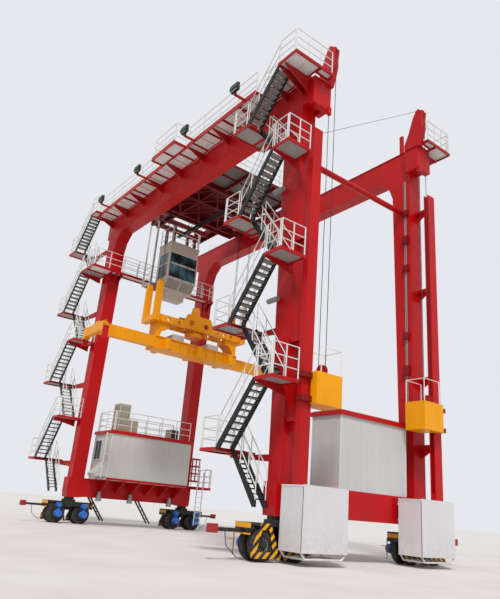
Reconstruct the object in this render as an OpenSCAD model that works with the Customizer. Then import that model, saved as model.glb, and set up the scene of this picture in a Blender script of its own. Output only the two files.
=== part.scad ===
// Rubber tyred gantry crane for stacking containers, standing on the ground at Z 0.
// X runs across the stack, Y along the crane's own travel, Z up. The near side is +X.
// All sizes are in millimetres.

/* [Portal] */
// Distance between the leg centre lines across the stack
span = 17600; // [16400:100:19600]
// Distance between the two legs of one side
wheelbase = 7000; // [6900:100:7600]
// Height of the underside of the girders
girder_z = 17400; // [16900:100:18200]
// Height of a girder
girder_h = 1200; // [1000:50:1400]
// Width of a girder
girder_w = 700; // [600:20:800]
// How far a girder runs past the leg centre line
girder_end = 800; // [700:20:860]
// Width of a leg along the travel
leg_y = 750; // [650:10:850]
// Width of a leg across the stack at the sill
leg_x_low = 660; // [560:10:760]
// Width of a leg across the stack under the haunch
leg_x_high = 1010; // [900:10:1150]
// Rise of the haunch under the girder
haunch_h = 900; // [600:50:1200]
// Run of the haunch along the girder
haunch_run = 780; // [500:20:1000]
// Height of the top of the sills
sill_top = 2430; // [2380:10:2480]
// Height of a sill
sill_h = 1000; // [900:20:1040]
// How far a sill runs past the leg centre line
sill_end = 530; // [450:10:600]
// Diameter of the tie tube between the near legs
tie_d = 260; // [160:10:360]
// Height of the tie tube
tie_z = 15300; // [14900:50:15900]

/* [Girder ends] */
// Length of the end box past the leg face
end_box_x = 640; // [560:20:680]
// Width of the end box
end_box_y = 950; // [900:10:1000]
// Height of the horn tip above the girders
horn_rise = 1850; // [1200:50:2600]
// Distance of the horns from the middle plane
horn_y = 3000; // [2960:10:3040]
// Thickness of a horn
horn_t = 300; // [240:10:320]

/* [Bogies] */
// Tyre diameter
tyre_d = 1000; // [940:10:1040]
// Tyre width
tyre_w = 280; // [240:10:300]
// Distance between the two axles of a bogie
axle_gap = 1440; // [1380:10:1500]
// Distance of the bogie centres from the middle plane
bogie_y = 3700; // [3640:10:3760]
// Thickness of the bogie beam between the twin tyres
bogie_beam_w = 130; // [100:5:150]
// Diameter of the wheel hub drums
hub_d = 460; // [380:10:520]
// Diameter of the drive motors
motor_d = 330; // [280:10:380]

/* [Weights] */
// Height of a hanging weight
weight_h = 1100; // [800:20:1300]
// Height of the underside of the weights at rest
weight_z = 4980; // [4800:20:5600]
// Width of a weight along the travel
weight_y = 1040; // [900:20:1060]
// Depth of a weight across the stack
weight_x = 930; // [800:10:960]
// Height of the guide column tops
column_top = 15900; // [14600:100:16100]

/* [Houses] */
// Length of the electrics house
elec_len = 3750; // [3200:50:4200]
// Height of the electrics house
elec_h = 2650; // [2400:50:2900]
// Depth of the electrics house
elec_x = 1520; // [1300:20:1600]
// Length of the engine house
engine_len = 5350; // [5000:50:5500]
// Height of the engine house
engine_h = 2570; // [2400:10:2800]
// Depth of the engine house
engine_x = 2300; // [1800:50:2400]
// Length of a white cabinet
cabinet_len = 2000; // [1700:20:2100]
// Height of a white cabinet
cabinet_h = 1970; // [1600:20:2000]

/* [Walks and stairs] */
// Width of the walks on the girders
walk_w = 1030; // [800:10:1100]
// Height of the handrails
rail_h = 1100; // [1000:10:1150]
// Width of a stair flight
stair_w = 640; // [600:10:660]
// Steps in a flight
steps = 10; // [8:1:11]
// Side of the box section of the rail posts
post_w = 50; // [40:2:60]

/* [Trolley and spreader] */
// Distance of the trolley's centre from the middle of the span
trolley_x = -3600; // [-3700:20:-3400]
// Length of the spreader when drawn out
spreader_len = 12192; // [11800:4:12200]
// Height of the underside of the spreader at rest
spreader_z = 9250; // [8800:50:9800]
// Height of the spreader's main beam
spreader_h = 750; // [660:10:820]
// Length of the headblock
headblock_len = 5960; // [5600:20:6200]
// Width of the driver's cab
cab_w = 2080; // [1900:20:2200]
// Depth of the driver's cab
cab_x = 1500; // [1300:20:1600]
// Height of the underside of the cab
cab_z = 13600; // [13500:20:13700]

/* [Hidden] */
half_span = span / 2;
half_base = wheelbase / 2;
leg_out = 440;
leg_face = half_span + leg_out;
leg_in_low = leg_face - leg_x_low;
leg_in_high = leg_face - leg_x_high;
girder_top = girder_z + girder_h;
girder_half = half_span + girder_end;
sill_z = sill_top - sill_h;
gap = 5;
// Gap of a bearing or a runner that two pieces meet at
seat = 0.3;
rail_top_w = 70;
rail_top_h = 60;
deck_t = 60;
frame_h = 120;
box_wall_in = 90;
rope_x = leg_face + 1000;
rope_d = 26;
end_box_z = girder_z - 150;

walk_z = girder_top + deck_t + 80;
walk_y0 = half_base + girder_w / 2 + 45;
walk_y1 = half_base + girder_w / 2 + walk_w;
platform_x1 = leg_face + 1060;
rear_side_y = walk_y1 + 60;
platform_in_y = horn_y + horn_t / 2 + 50;
leg_gap_y = half_base - leg_y / 2 - 60;

// Levels of the stair landings, from the lowest up
levels = [3450, 5700, 8000, 10250, 12500, 14750, 16800, walk_z];
cross_z = levels[5];
haunch_z = girder_z - haunch_h * 1.25;
stair_run = 1780;
nose = 60;
left_landing = 1010;
right_landing = 910;
lane_gap = 30;
leg_side = half_base + leg_y / 2;
inner_lane_y = leg_side + 15;
outer_lane_y = inner_lane_y + stair_w + lane_gap;
stair_side = outer_lane_y + stair_w;
near_stair_x = leg_face - 1900;
far_stair_x = -girder_half - stair_run - nose;
platform_x0 = near_stair_x + stair_run + nose;
front_side_y = stair_side + 80;

// The inner face of a leg at height z, where the leg tapers
// clearance between a slanted leg and what stands against it
slant_gap = 0.1;
function leg_in(z) = leg_in_low - (leg_in_low - leg_in_high) * (z - sill_top) / (haunch_z - sill_top);

// The walk between the far legs, on their inner side
cross_x0 = -leg_in(cross_z) + gap;
cross_x1 = cross_x0 + 640;
cross_y1 = half_base + 100;
link_x0 = far_stair_x + stair_run + nose + right_landing;

tyre_r = tyre_d / 2;
axle_r = 55;
bogie_x = half_span + 100;
tyre_in = bogie_beam_w / 2 + 25;
tyre_out = tyre_in + tyre_w;
deck_z = tyre_d + 45;
deck_h = 90;
guard_x = tyre_out + 45;

cabinet_x = leg_face + 160;
cabinet_depth = 1060;
cabinet_z = 390;
cabinet_y = 2940;
cabinet_top = cabinet_z + cabinet_h;

column_x = leg_face + 560;
column_d = 250;
column_y_in = 3420;
column_y_out = 3870;
// Heights of the brackets that hold the columns
column_levels = [4400, 7200, 11200, 15150];
// Heights of the round lamps on the near front leg
lamp_levels = [8950, 13700];
lamp_d = 200;
weight_x_in = leg_face + 240;
weight_y_in = column_y_in - 60 - weight_y;
shoe_y = column_y_out + 120;
weight_clear_y = shoe_y + 50;
sheave_d = 340;
horn_sheave_d = 290;
weight_rail_h = 900;
horn_sheave_z = girder_top + horn_rise - 200;
weight_sheave_z = weight_z + weight_h + 120;
anchor_z = end_box_z - 250;

elec_y = 780;
elec_z = sill_top;
engine_y = 320;
engine_z = sill_top;

// floodlights of the front walk
floodlight_xs = [6500, 2300, -2700, -7500];
floodlight_reach = 580;

// service platform behind the far rear leg
service_z = sill_top + 140;
service_x0 = -leg_face + 60;
service_x1 = -leg_in_low + 780;
service_y1 = leg_side + 1150;
cage_d = 700;
cage_x = -leg_in_low - 120;
cage_levels = [2900, 3350, 3800, 4250];
engine_in_x = leg_in_low - 1130;

trolley_z = girder_top + rail_top_h;
trolley_wheel_d = 500;
cab_front_x = -6000;
cab_floor = cab_z + 550;
cab_sill = cab_z + 1150;
cab_top = cab_z + 3650;
headblock_z = spreader_z + spreader_h + 840;
headblock_h = 390;
upright_h = 2260;

// The whole crane is set so that its outline is centred on the origin
far_edge = far_stair_x - nose - left_landing;
set_x = -(far_edge + cabinet_x + cabinet_depth) / 2;

$fn = 32;

// Small helpers

module place() {
  translate([set_x, 0, 0]) children();
}

// A block from its two corners
module block(a, b) {
  translate(a) cube([b[0] - a[0], b[1] - a[1], b[2] - a[2]]);
}

// A round bar between two points
module bar(a, b, d, sides = 8) {
  v = b - a;
  l = norm(v);
  translate(a)
    rotate([0, acos(v[2] / l), atan2(v[1], v[0])])
      cylinder(h = l, d = d, $fn = sides);
}

// A shape drawn in X and Z, carried along Y
module wall_xz(y0, y1) {
  translate([0, y1, 0]) rotate([90, 0, 0]) linear_extrude(y1 - y0) children();
}

// A shape drawn in Y and Z, carried along X
module wall_yz(x0, x1) {
  translate([x0, 0, 0]) rotate([90, 0, 90]) linear_extrude(x1 - x0) children();
}

// The piece at +Y and its mirror at -Y
module front_and_rear() {
  children();
  mirror([0, 1, 0]) children();
}

// The piece at +X and its mirror at -X
module near_and_far() {
  children();
  mirror([1, 0, 0]) children();
}

module four_corners() {
  near_and_far() front_and_rear() children();
}

// Portal frame

module girder() {
  y0 = half_base - girder_w / 2;
  y1 = half_base + girder_w / 2;
  block([-girder_half, y0, girder_z], [girder_half, y1, girder_top]);
  // the top plate stands out a little past the webs
  block([-girder_half, y0 - 40, girder_top - 30], [girder_half, y1 + 40, girder_top]);
  block(
    [-girder_half + 60, half_base - rail_top_w / 2, girder_top],
    [girder_half - 60, half_base + rail_top_w / 2, girder_top + rail_top_h]
  );
}

module girders() {
  color("#b3282d") front_and_rear() girder();
}

module leg_outline() {
  polygon([
    [leg_in_low, sill_top],
    [leg_face, sill_top],
    [leg_face, girder_z],
    [leg_in_high - haunch_run, girder_z],
    [leg_in_high - haunch_run * 0.3, girder_z - haunch_h * 0.55],
    [leg_in_high, haunch_z]
  ]);
}

// A tapered arm that carries a stair landing, from the leg out to x1
module landing_arm(x0, x1, z) {
  wall_xz(-leg_side + 30, -leg_side + 130)
    polygon([
      [x0, z - frame_h], [x1, z - frame_h], [x1, z - frame_h - 80],
      [x0, z - frame_h - abs(x1 - x0) * 0.1]
    ]);
}

module legs() {
  reach = half_base - leg_y / 2;
  color("#b3282d") {
    four_corners() wall_xz(reach, reach + leg_y) leg_outline();
    for (i = [0:2:6]) {
      landing_arm(leg_face - 300, near_stair_x - nose - left_landing, levels[i]);
      landing_arm(-leg_face + 300, far_stair_x - nose - left_landing, levels[i]);
    }
    // the tie tube between the two near legs
    translate([half_span - 60, reach + 20, tie_z])
      rotate([90, 0, 0]) cylinder(h = 2 * reach + 40, d = tie_d);
  }
}

module sill() {
  half = half_base + sill_end;
  wall_yz(leg_in_low, leg_face)
    polygon([
      [-half, sill_z + 260], [-half, sill_top], [half, sill_top], [half, sill_z + 260],
      [bogie_y + 290, sill_z - 60], [bogie_y - 290, sill_z - 60],
      [bogie_y - 760, sill_z], [-bogie_y + 760, sill_z],
      [-bogie_y + 290, sill_z - 60], [-bogie_y - 290, sill_z - 60]
    ]);
}

// A triangular bracket on the inner face of the near sill, under the electrics house
module house_bracket(x0, x1, z1) {
  wall_xz(-40, 40)
    polygon([[x0, z1 - 60], [x0, z1], [x1, z1], [x1, z1 - 650], [x1 - 80, z1 - 650]]);
}

module sills() {
  color("#a8242a") {
    near_and_far() sill();
    for (y = [-1500, 0, 1500])
      translate([0, elec_y + y * elec_len / 3750, 0])
        house_bracket(leg_face - elec_x + 40, leg_in_low, sill_top);
    for (k = [0:5])
      translate([0, engine_y + (k - 2.5) * (engine_len - 500) / 5, 0]) mirror([1, 0, 0]) {
        house_bracket(engine_in_x + 40, leg_in_low, sill_top);
        translate([2 * leg_face, 0, 0]) mirror([1, 0, 0])
          house_bracket(leg_face - (engine_in_x + engine_x - leg_face) + 40, leg_face, sill_top);
      }
  }
}

// The box on a near girder end, with its leaning rope horn
module horn_and_box() {
  y_web = half_base - leg_y / 2;
  y0 = half_base + girder_w / 2 - end_box_y;
  x0 = leg_face - box_wall_in;
  x1 = leg_face + end_box_x;
  block([girder_half, y0, end_box_z], [x1, half_base + girder_w / 2, girder_top - 40]);
  wall_xz(y0, y_web)
    polygon([
      [x0, girder_top - 40], [x0, girder_z + 500], [leg_face - 40, end_box_z],
      [x1, end_box_z], [x1, girder_top - 40]
    ]);
  difference() {
    wall_xz(horn_y - horn_t / 2, horn_y + horn_t / 2) horn_outline();
    // the top plate of the girder runs past the horn
    block([0, half_base - girder_w / 2 - 45, girder_z], [girder_half + gap, half_base, girder_top + gap]);
    // the slot that the rope and its sheave run in
    block(
      [rope_x - horn_sheave_d - 40, horn_y - 50, horn_sheave_z - horn_sheave_d / 2 - 60],
      [rope_x + 600, horn_y + 50, girder_top + horn_rise + 40]
    );
    block([rope_x - 45, horn_y - 50, girder_top - 300], [rope_x + 600, horn_y + 50, horn_sheave_z]);
  }
  sheave(horn_sheave_z, horn_sheave_d);
  // lug under the box that the dead rope is anchored in
  block(
    [rope_x - sheave_d - 60, horn_y - 80, anchor_z],
    [rope_x - sheave_d + 70, horn_y + 80, end_box_z + 100]
  );
  // stop post at the foot of the horn
  block(
    [leg_face - 560, half_base - girder_w / 2 - 35, girder_top],
    [leg_face - 380, half_base - girder_w / 2 + 90, girder_top + 1000]
  );
}

// The leaning horn from the side; z is given as a share of its rise
module horn_outline() {
  side = [
    [-70, -0.1], [-70, 0.065], [180, 0.35], [430, 0.75], [620, 0.95], [740, 1],
    [1020, 0.865], [970, 0.65], [980, 0.4], [880, 0.16], [750, -0.1]
  ];
  polygon([for (p = side) [leg_face + p[0], girder_top + horn_rise * p[1]]]);
}

// A rope sheave on its pin, which the live rope leaves at its outer side
module sheave(z, d) {
  translate([rope_x - d / 2, horn_y, z]) rotate([90, 0, 0]) {
    cylinder(h = 70, d = d - rope_d - 2 * seat, center = true, $fn = 48);
    cylinder(h = horn_t, d = 70, center = true);
  }
}

module horns() {
  color("#b3282d") front_and_rear() horn_and_box();
}

// Walks on the girders

module walk_deck(x0, x1, y0, y1, z) {
  block([x0, y0, z - deck_t], [x1, y1, z]);
  // edge strips and cross bearers under the deck
  for (y = [y0, y1 - 40]) block([x0, y, z - 140], [x1, y + 40, z - deck_t]);
  n = max(1, round((x1 - x0) / 1300));
  for (i = [0:n])
    let (x = x0 + (x1 - x0 - 60) * i / n)
      block([x, y0, z - 140], [x + 60, y1, z - deck_t]);
}

module walkways() {
  color("#8f1c20") {
    crosswalk();
    // rear walk
    walk_deck(-girder_half, platform_x0, walk_y0, walk_y1, walk_z);
    walk_brackets(walk_y1 - 20);
    end_platform(rear_side_y);
    mirror([0, 1, 0]) {
      // front walk, which is narrow beside the top flight of the near stair
      walk_deck(-girder_half, near_stair_x - 80, walk_y0, walk_y1, walk_z);
      walk_deck(near_stair_x - 80, platform_x0, walk_y0, outer_lane_y - 20, walk_z);
      // the wider bay in the middle
      walk_deck(-900, 1500, walk_y1, walk_y1 + 700, walk_z);
      // the place where the far stair comes up
      walk_deck(-girder_half, -girder_half + 900, walk_y1, front_side_y, walk_z);
      walk_brackets(outer_lane_y - 40);
      end_platform(front_side_y);
      // arms that hold the floodlights out
      for (x = floodlight_xs)
        block([x - 50, walk_y1, walk_z - 140], [x + 50, walk_y1 + floodlight_reach + 60, walk_z - 60]);
    }
  }
}

// Brackets that carry a walk from the girder's web; near the stair they reach to tip_y
module walk_brackets(tip_y) {
  flange_z = girder_top - 30;
  for (i = [0:8])
    let (
      x = -girder_half + 500 + i * (2 * girder_half - 1900) / 8,
      tip = x < near_stair_x - 200 ? walk_y1 - 20 : tip_y
    )
      wall_yz(x - 30, x + 30)
        polygon([
          [walk_y0 - 45, walk_z - 640], [walk_y0 - 45, flange_z], [walk_y0, flange_z],
          [walk_y0, walk_z - 140], [tip, walk_z - 140], [tip, walk_z - 200]
        ]);
}

// The platform that goes round a near girder end, out to side_y
module end_platform(side_y) {
  flange_z = girder_top - 30;
  walk_deck(platform_x0, platform_x1, walk_y0, side_y, walk_z);
  walk_deck(leg_face + end_box_x + 40, platform_x1, platform_in_y, walk_y0, walk_z);
  for (x = [platform_x0 + 40, platform_x0 + 340])
    wall_yz(x, x + 60)
      polygon([
        [walk_y0 - 45, walk_z - 900], [walk_y0 - 45, flange_z], [walk_y0, flange_z],
        [walk_y0, walk_z - 140], [side_y - 80, walk_z - 140], [side_y - 80, walk_z - 220]
      ]);
}

// A straight run of handrail with posts, a top rail and two lower rails
module rail_run(a, b, posts) {
  up = [0, 0, rail_h];
  for (k = [1, 0.62, 0.3]) bar(a + up * k, b + up * k, post_w * 0.8);
  for (i = [0:posts])
    let (p = a + (b - a) * i / posts) bar(p, p + up, post_w);
}

module walkway_rails() {
  y = walk_y1 - 40;
  z = walk_z;
  bay = y + 700;
  front_side = front_side_y - 40;
  rear_side = rear_side_y - 40;
  color("#e6e4e0") {
    // front walk, with its wider bay
    rail_run([-girder_half + 980, -y, z], [-1000, -y, z], 6);
    rail_run([-780, -bay, z], [1380, -bay, z], 2);
    for (x = [-860, 1460]) rail_run([x, -y - 60, z], [x, -bay, z], 1);
    rail_run([1600, -y, z], [near_stair_x - 140, -y, z], 4);
    rail_run(
      [near_stair_x - 20, -outer_lane_y + 60, z], [platform_x0 - 80, -outer_lane_y + 60, z], 2
    );
    rail_run([-girder_half + 60, -front_side, z], [-girder_half + 780, -front_side, z], 1);
    rail_run([-girder_half + 860, -front_side, z], [-girder_half + 860, -y - 60, z], 1);
    // rear walk
    rail_run([-girder_half + 60, y, z], [platform_x0 - 60, y, z], 13);
    rail_run([-girder_half + 60, walk_y0 + 60, z], [-girder_half + 60, y - 80, z], 1);
    // end platforms
    for (side = [-front_side, rear_side]) {
      end_y = sign(side) * (platform_in_y + 40);
      rail_run([platform_x0 + 60, side, z], [platform_x1 - 140, side, z], 1);
      rail_run([platform_x1 - 60, side, z], [platform_x1 - 60, end_y, z], 3);
    }
    // walk between the far legs
    rail_run([cross_x1 - 40, 60 - stair_side, cross_z], [cross_x1 - 40, cross_y1 - 40, cross_z], 9);
    rail_run([cross_x0 + 40, -leg_gap_y, cross_z], [cross_x0 + 40, leg_gap_y, cross_z], 6);
    rail_run(
      [60 - leg_in(cross_z + rail_h), cross_y1 - 40, cross_z],
      [cross_x1 - 120, cross_y1 - 40, cross_z], 1
    );
    rail_run([link_x0 + 40, 60 - stair_side, cross_z], [cross_x1 - 120, 60 - stair_side, cross_z], 1);
    // roof of the engine house
    zr = engine_z + engine_h + 200;
    x0 = -engine_in_x - engine_x + 120;
    x1 = -engine_in_x - 60;
    yr = engine_y - engine_len / 2 + 60;
    rail_run([x1, yr + 80, zr], [x1, yr + engine_len - 200, zr], 5);
    rail_run([x0, yr, zr], [x1, yr, zr], 2);
    rail_run([x0, yr + 80, zr], [x0, yr + engine_len - 200, zr], 5);
  }
}

// The walk between the two far legs, with the link from the far stair
module crosswalk() {
  y_link = -leg_side - 15;
  walk_deck(cross_x0, cross_x1, y_link, cross_y1, cross_z);
  walk_deck(link_x0, cross_x1, -stair_side, y_link, cross_z);
  // brackets on the inner faces of the legs
  low = cross_z - 640;
  for (s = [-1, 1], y = [half_base - 290, half_base + 40])
    wall_xz(min(s * y, s * (y + 60)), max(s * y, s * (y + 60)))
      polygon([
        [slant_gap - leg_in(cross_z - 60), cross_z - 60], [slant_gap - leg_in(low), low],
        [cross_x1 - 60, cross_z - 180], [cross_x1 - 60, cross_z - 60]
      ]);
}

// The service platform behind the far rear leg, with the hoops of its ladder cage
module service_platform() {
  walk_deck(service_x0, service_x1, leg_side, service_y1, service_z);
  translate([cage_x, leg_side + cage_d / 2 + 25, 0]) {
    for (z = cage_levels)
      translate([0, 0, z])
        difference() {
          cylinder(h = 60, d = cage_d + 30);
          translate([0, 0, -5]) cylinder(h = 70, d = cage_d);
        }
    // upright flats inside the thickness of the hoops
    for (a = [-60:40:220])
      rotate([0, 0, a])
        translate([cage_d / 2 + 2, -25, cage_levels[0] - 20])
          cube([10, 50, cage_levels[3] - cage_levels[0] + 60]);
  }
  for (z = cage_levels)
    block([cage_x - 40, leg_side, z + 10], [cage_x + 40, leg_side + 18, z + 50]);
}

// Rails of the service platform, the ladder down and the ladder in the cage
module service_rails() {
  side = service_y1 - 40;
  near = service_x1 - 40;
  rail_run([service_x0 + 40, leg_side + 60, service_z], [service_x0 + 40, side - 80, service_z], 1);
  rail_run([service_x0 + 40, side, service_z], [near, side, service_z], 1);
  rail_run([near, leg_side + 640, service_z], [near, side - 80, service_z], 1);
  for (y = [leg_side + 80, leg_side + 500])
    block([service_x1, y, 320], [service_x1 + 50, y + 50, service_z + 900]);
  for (z = [450:300:service_z - 200])
    block([service_x1 + 10, leg_side + 100, z], [service_x1 + 40, leg_side + 530, z + 30]);
  for (dx = [-150, 150])
    bar([cage_x + dx, leg_side + 120, service_z], [cage_x + dx, leg_side + 120, 4400], 40);
  for (z = [service_z + 300:300:4200])
    bar([cage_x - 150, leg_side + 120, z], [cage_x + 150, leg_side + 120, z], 25);
}

// Stairs. Each climbs in two lanes beside its leg, turning on a landing at every level

// The two stringers of a flight from [0, 0, 0] up to [run, 0, rise], of width w in Y
module stringers(run, rise, w) {
  for (y = [0, w - 40])
    wall_xz(y, y + 40)
      polygon([
        [-nose, -90], [110, -90], [run + nose, rise - 150], [run + nose, rise],
        [run - nose, rise], [-nose, 90]
      ]);
}

module flight(run, rise, w) {
  stringers(run, rise, w);
  for (i = [1:steps])
    let (k = i / (steps + 1))
      block([run * k - 130, 30, rise * k - 20], [run * k + 130, w - 30, rise * k + 20]);
}

// Its handrails, with posts that stand on the stringers
module flight_rails(run, rise, w) {
  difference() {
    for (y = [20, w - 20], i = [0:3])
      let (k = i / 3)
        bar([run * k, y, rise * k - 20], [run * k, y, rise * k + rail_h], post_w - 12);
    flight(run, rise, w);
  }
  for (y = [20, w - 20], k = [1, 0.5])
    bar([0, y, rail_h * k], [run, y, rise + rail_h * k], post_w * 0.8);
}

// Every flight of the stair that starts at x, or the handrails of each
module each_flight(x, rails) {
  for (i = [0:6])
    let (
      up_right = i % 2 == 0,
      lane = up_right ? outer_lane_y : inner_lane_y,
      rise = levels[i + 1] - levels[i]
    )
      translate([up_right ? x : x + stair_run, -lane - stair_w, levels[i]])
        mirror([up_right ? 0 : 1, 0, 0]) {
          if (rails) flight_rails(stair_run, rise, stair_w);
          else flight(stair_run, rise, stair_w);
        }
  // the narrow lowest flight, which ends over the wheels
  low_w = inner_lane_y + stair_w - half_base - sill_end - 20;
  drop = levels[0] - sill_z - 250;
  translate([x + stair_run * 0.8, -inner_lane_y - stair_w, sill_z + 250])
    mirror([1, 0, 0]) {
      if (rails) flight_rails(stair_run * 0.8, drop, low_w);
      else flight(stair_run * 0.8, drop, low_w);
    }
}

module stair_flights() {
  color("#26262a")
    for (x = [near_stair_x, far_stair_x]) each_flight(x, false);
}

// A landing: a deck in a frame
module landing(x0, x1, y0, y1, z) {
  block([x0, y0, z - deck_t], [x1, y1, z]);
  for (y = [y0, y1 - 50]) block([x0, y, z - frame_h], [x1, y + 50, z]);
  for (x = [x0, x1 - 50]) block([x, y0, z - frame_h], [x + 50, y1, z]);
}

module stair_landings() {
  y0 = -stair_side - 20;
  color("#b3282d") {
    service_platform();
    for (x = [near_stair_x, far_stair_x]) {
      x_left = x - nose;
      x_right = x + stair_run + nose;
      y_right = x > 0 ? -weight_clear_y : -leg_side;
      for (i = [0:2:6])
        landing(x_left - left_landing, x_left, y0, -leg_side + 420, levels[i]);
      for (i = [1:2:5]) {
        landing(x_right, x_right + right_landing, y0, y_right, levels[i]);
        // a gusset to the side of the leg
        wall_yz(x_right, x_right + 45)
          polygon([
            [y0, levels[i] - frame_h], [y0, levels[i] - frame_h - 40],
            [-leg_side, levels[i] - frame_h - 320], [-leg_side, levels[i] - frame_h],
          ]);
      }
    }
  }
}

module stair_rails() {
  y0 = -stair_side + 10;
  color("#e6e4e0") {
    service_rails();
    for (x = [near_stair_x, far_stair_x]) {
      x_left = x - nose;
      x_right = x + stair_run + nose;
      y_right = x > 0 ? -weight_clear_y : -leg_side;
      each_flight(x, true);
      for (i = [0:2:6]) {
        xe = x_left - left_landing + 30;
        rail_run([xe, y0, levels[i]], [xe, -leg_side - 30, levels[i]], 2);
        rail_run([xe + 80, y0, levels[i]], [x_left - 60, y0, levels[i]], 1);
      }
      for (i = [1:2:5]) {
        xe = x_right + right_landing - 30;
        // the far one is left open to the walk between the legs
        if (x > 0 || levels[i] != cross_z)
          rail_run([xe, y0, levels[i]], [xe, y_right - 40, levels[i]], 2);
        rail_run([x_right + 60, y0, levels[i]], [xe - 80, y0, levels[i]], 1);
      }
    }
  }
}

// Houses and cabinets

module machine_houses() {
  color("#c8c8c4") {
    block(
      [leg_face - elec_x, elec_y - elec_len / 2, elec_z],
      [leg_face - 20, elec_y + elec_len / 2, elec_z + elec_h]
    );
    block(
      [-engine_in_x - engine_x, engine_y - engine_len / 2, engine_z],
      [-engine_in_x, engine_y + engine_len / 2, engine_z + engine_h]
    );
    // sloping hood on the front end wall of the engine house
    hood_y = engine_y - engine_len / 2;
    wall_yz(-engine_in_x - 1000, -engine_in_x - 50)
      polygon([
        [hood_y, engine_z + 1000], [hood_y, engine_z + 220], [hood_y - 640, engine_z + 130],
        [hood_y - 700, engine_z + 300]
      ]);
  }
}

module roof_slab(x0, x1, y0, y1, z) {
  over = 70;
  block([x0 - over, y0 - over, z], [x1 + over, y1 + over, z + 170]);
  block([x0, y0, z + 170], [x1, y1, z + 200]);
}

module house_roofs() {
  color("#b3282d") {
    roof_slab(
      leg_face - elec_x, leg_face - 20, elec_y - elec_len / 2, elec_y + elec_len / 2,
      elec_z + elec_h
    );
    roof_slab(
      -engine_in_x - engine_x, -engine_in_x, engine_y - engine_len / 2,
      engine_y + engine_len / 2, engine_z + engine_h
    );
  }
}

module roof_units() {
  z = engine_z + engine_h + 200;
  x = -engine_in_x;
  color("#b9b9b2") {
    block([x - 1050, -2000, z], [x - 250, -1310, z + 1600]);
    block([x - 900, -1270, z], [x - 250, -700, z + 750]);
    block([x - 930, 1600, z], [x - 250, 2150, z + 580]);
  }
}

module cabinets() {
  color("#d8d6d6")
    front_and_rear()
      block(
        [cabinet_x, cabinet_y - cabinet_len / 2, cabinet_z],
        [cabinet_x + cabinet_depth, cabinet_y + cabinet_len / 2, cabinet_top]
      );
}

module cabinet_frames() {
  y0 = cabinet_y - cabinet_len / 2 + 40;
  y1 = cabinet_y + cabinet_len / 2 - 40;
  x0 = cabinet_x + 60;
  x1 = cabinet_x + cabinet_depth - 60;
  color("#e6e4e0")
    front_and_rear() {
      // arms from the sill to the cabinet
      for (y = [y0 + 120, y1 - 560])
        for (z = [1560, 2120]) block([leg_face, y, z], [cabinet_x, y + 90, z + 90]);
      // bent hoops that hang below each end
      difference() {
        for (x = [x0, x1]) {
          bar([x, y0, cabinet_z], [x, y0 + 160, cabinet_z - 170], 60);
          bar([x, y0 + 160, cabinet_z - 170], [x, y1 - 160, cabinet_z - 170], 60);
          bar([x, y1 - 160, cabinet_z - 170], [x, y1, cabinet_z], 60);
        }
        block([x0 - 60, y0 - 90, cabinet_z], [x1 + 60, y1 + 90, cabinet_z + 60]);
      }
      for (y = [y0 + 160, y1 - 160])
        bar([x0, y, cabinet_z - 170], [x1, y, cabinet_z - 170], 60);
    }
}

// Columns that guide the weights

module guide_columns() {
  x1 = column_x + column_d;
  color("#a8242a")
    front_and_rear() {
      difference() {
        block([column_x, column_y_in, cabinet_top + 5], [x1, column_y_out, column_top]);
        // an open channel on the inner side
        block(
          [column_x + 50, column_y_in - 10, cabinet_top + 300],
          [x1 - 50, column_y_in + 120, column_top + 10]
        );
      }
      for (z = column_levels) {
        block([leg_face, column_y_in + 120, z], [column_x, column_y_out - 60, z + 140]);
        wall_xz(column_y_in + 200, column_y_in + 240)
          polygon([[leg_face, z - 420], [leg_face, z], [column_x, z], [column_x, z - 60]]);
      }
    }
}

module floodlight() {
  post = 120;
  block([-40, -40, 0], [40, 40, post]);
  wall_yz(-260, 260)
    polygon([
      [-60, post], [30, post], [10, post + 380], [-140, post + 340], [-180, post + 100]
    ]);
}

module floodlights() {
  color("#23382f") {
    for (x = floodlight_xs)
      translate([x, -walk_y1 - floodlight_reach, walk_z - 60]) floodlight();
    // round lamps that lie on the near front leg
    for (z = lamp_levels)
      let (x = leg_in(z)) {
        translate([x - 350, -leg_side - 120, z]) rotate([0, 90, 0]) cylinder(h = 550, d = lamp_d);
        block([x + 60, -leg_side - 120, z - 50], [x + 160, -leg_side, z + 50]);
      }
  }
}

// Running gear

module bumper_arm() {
  y0 = bogie_y + axle_gap / 2 + tyre_r + 80 + 25;
  y1 = 6250;
  z = 880;
  block([bogie_x - 55, y0, z - 55], [bogie_x + 55, y1, z + 55]);
  block([bogie_x - 110, y1 - 220, z - 110], [bogie_x + 110, y1 + 60, z + 150]);
  // cable that hangs from the arm to the ground
  bend = [bogie_x, y1 - 640, 430];
  bar([bogie_x, y1 - 560, z - 40], bend, 26);
  bar(bend - [0, 0, 5], [bogie_x, y0 + 160, 110], 26);
}

module bumper_arms() {
  color("#2a2a2c") four_corners() bumper_arm();
}

module sill_ladder(y) {
  x = -leg_in_low - 120;
  dy = 900;
  for (dx = [0, 380]) {
    bar([x + dx - 300, y, sill_z - 40], [x + dx - 300, y + dy, 240], 100);
    block([x + dx - 330, y - 60, sill_z - 60], [x + dx - 270, y + 60, sill_z]);
  }
  for (i = [1:4])
    let (k = i / 5)
      bar(
        [x - 310, y + dy * k, sill_z - 30 + (270 - sill_z) * k],
        [x + 90, y + dy * k, sill_z - 30 + (270 - sill_z) * k], 40
      );
}

module sill_ladders() {
  color("#26262a") {
    sill_ladder(-2500);
    sill_ladder(500);
  }
}

module axle_places() {
  for (s = [-1, 1]) translate([0, s * axle_gap / 2, tyre_r]) children();
}

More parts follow.
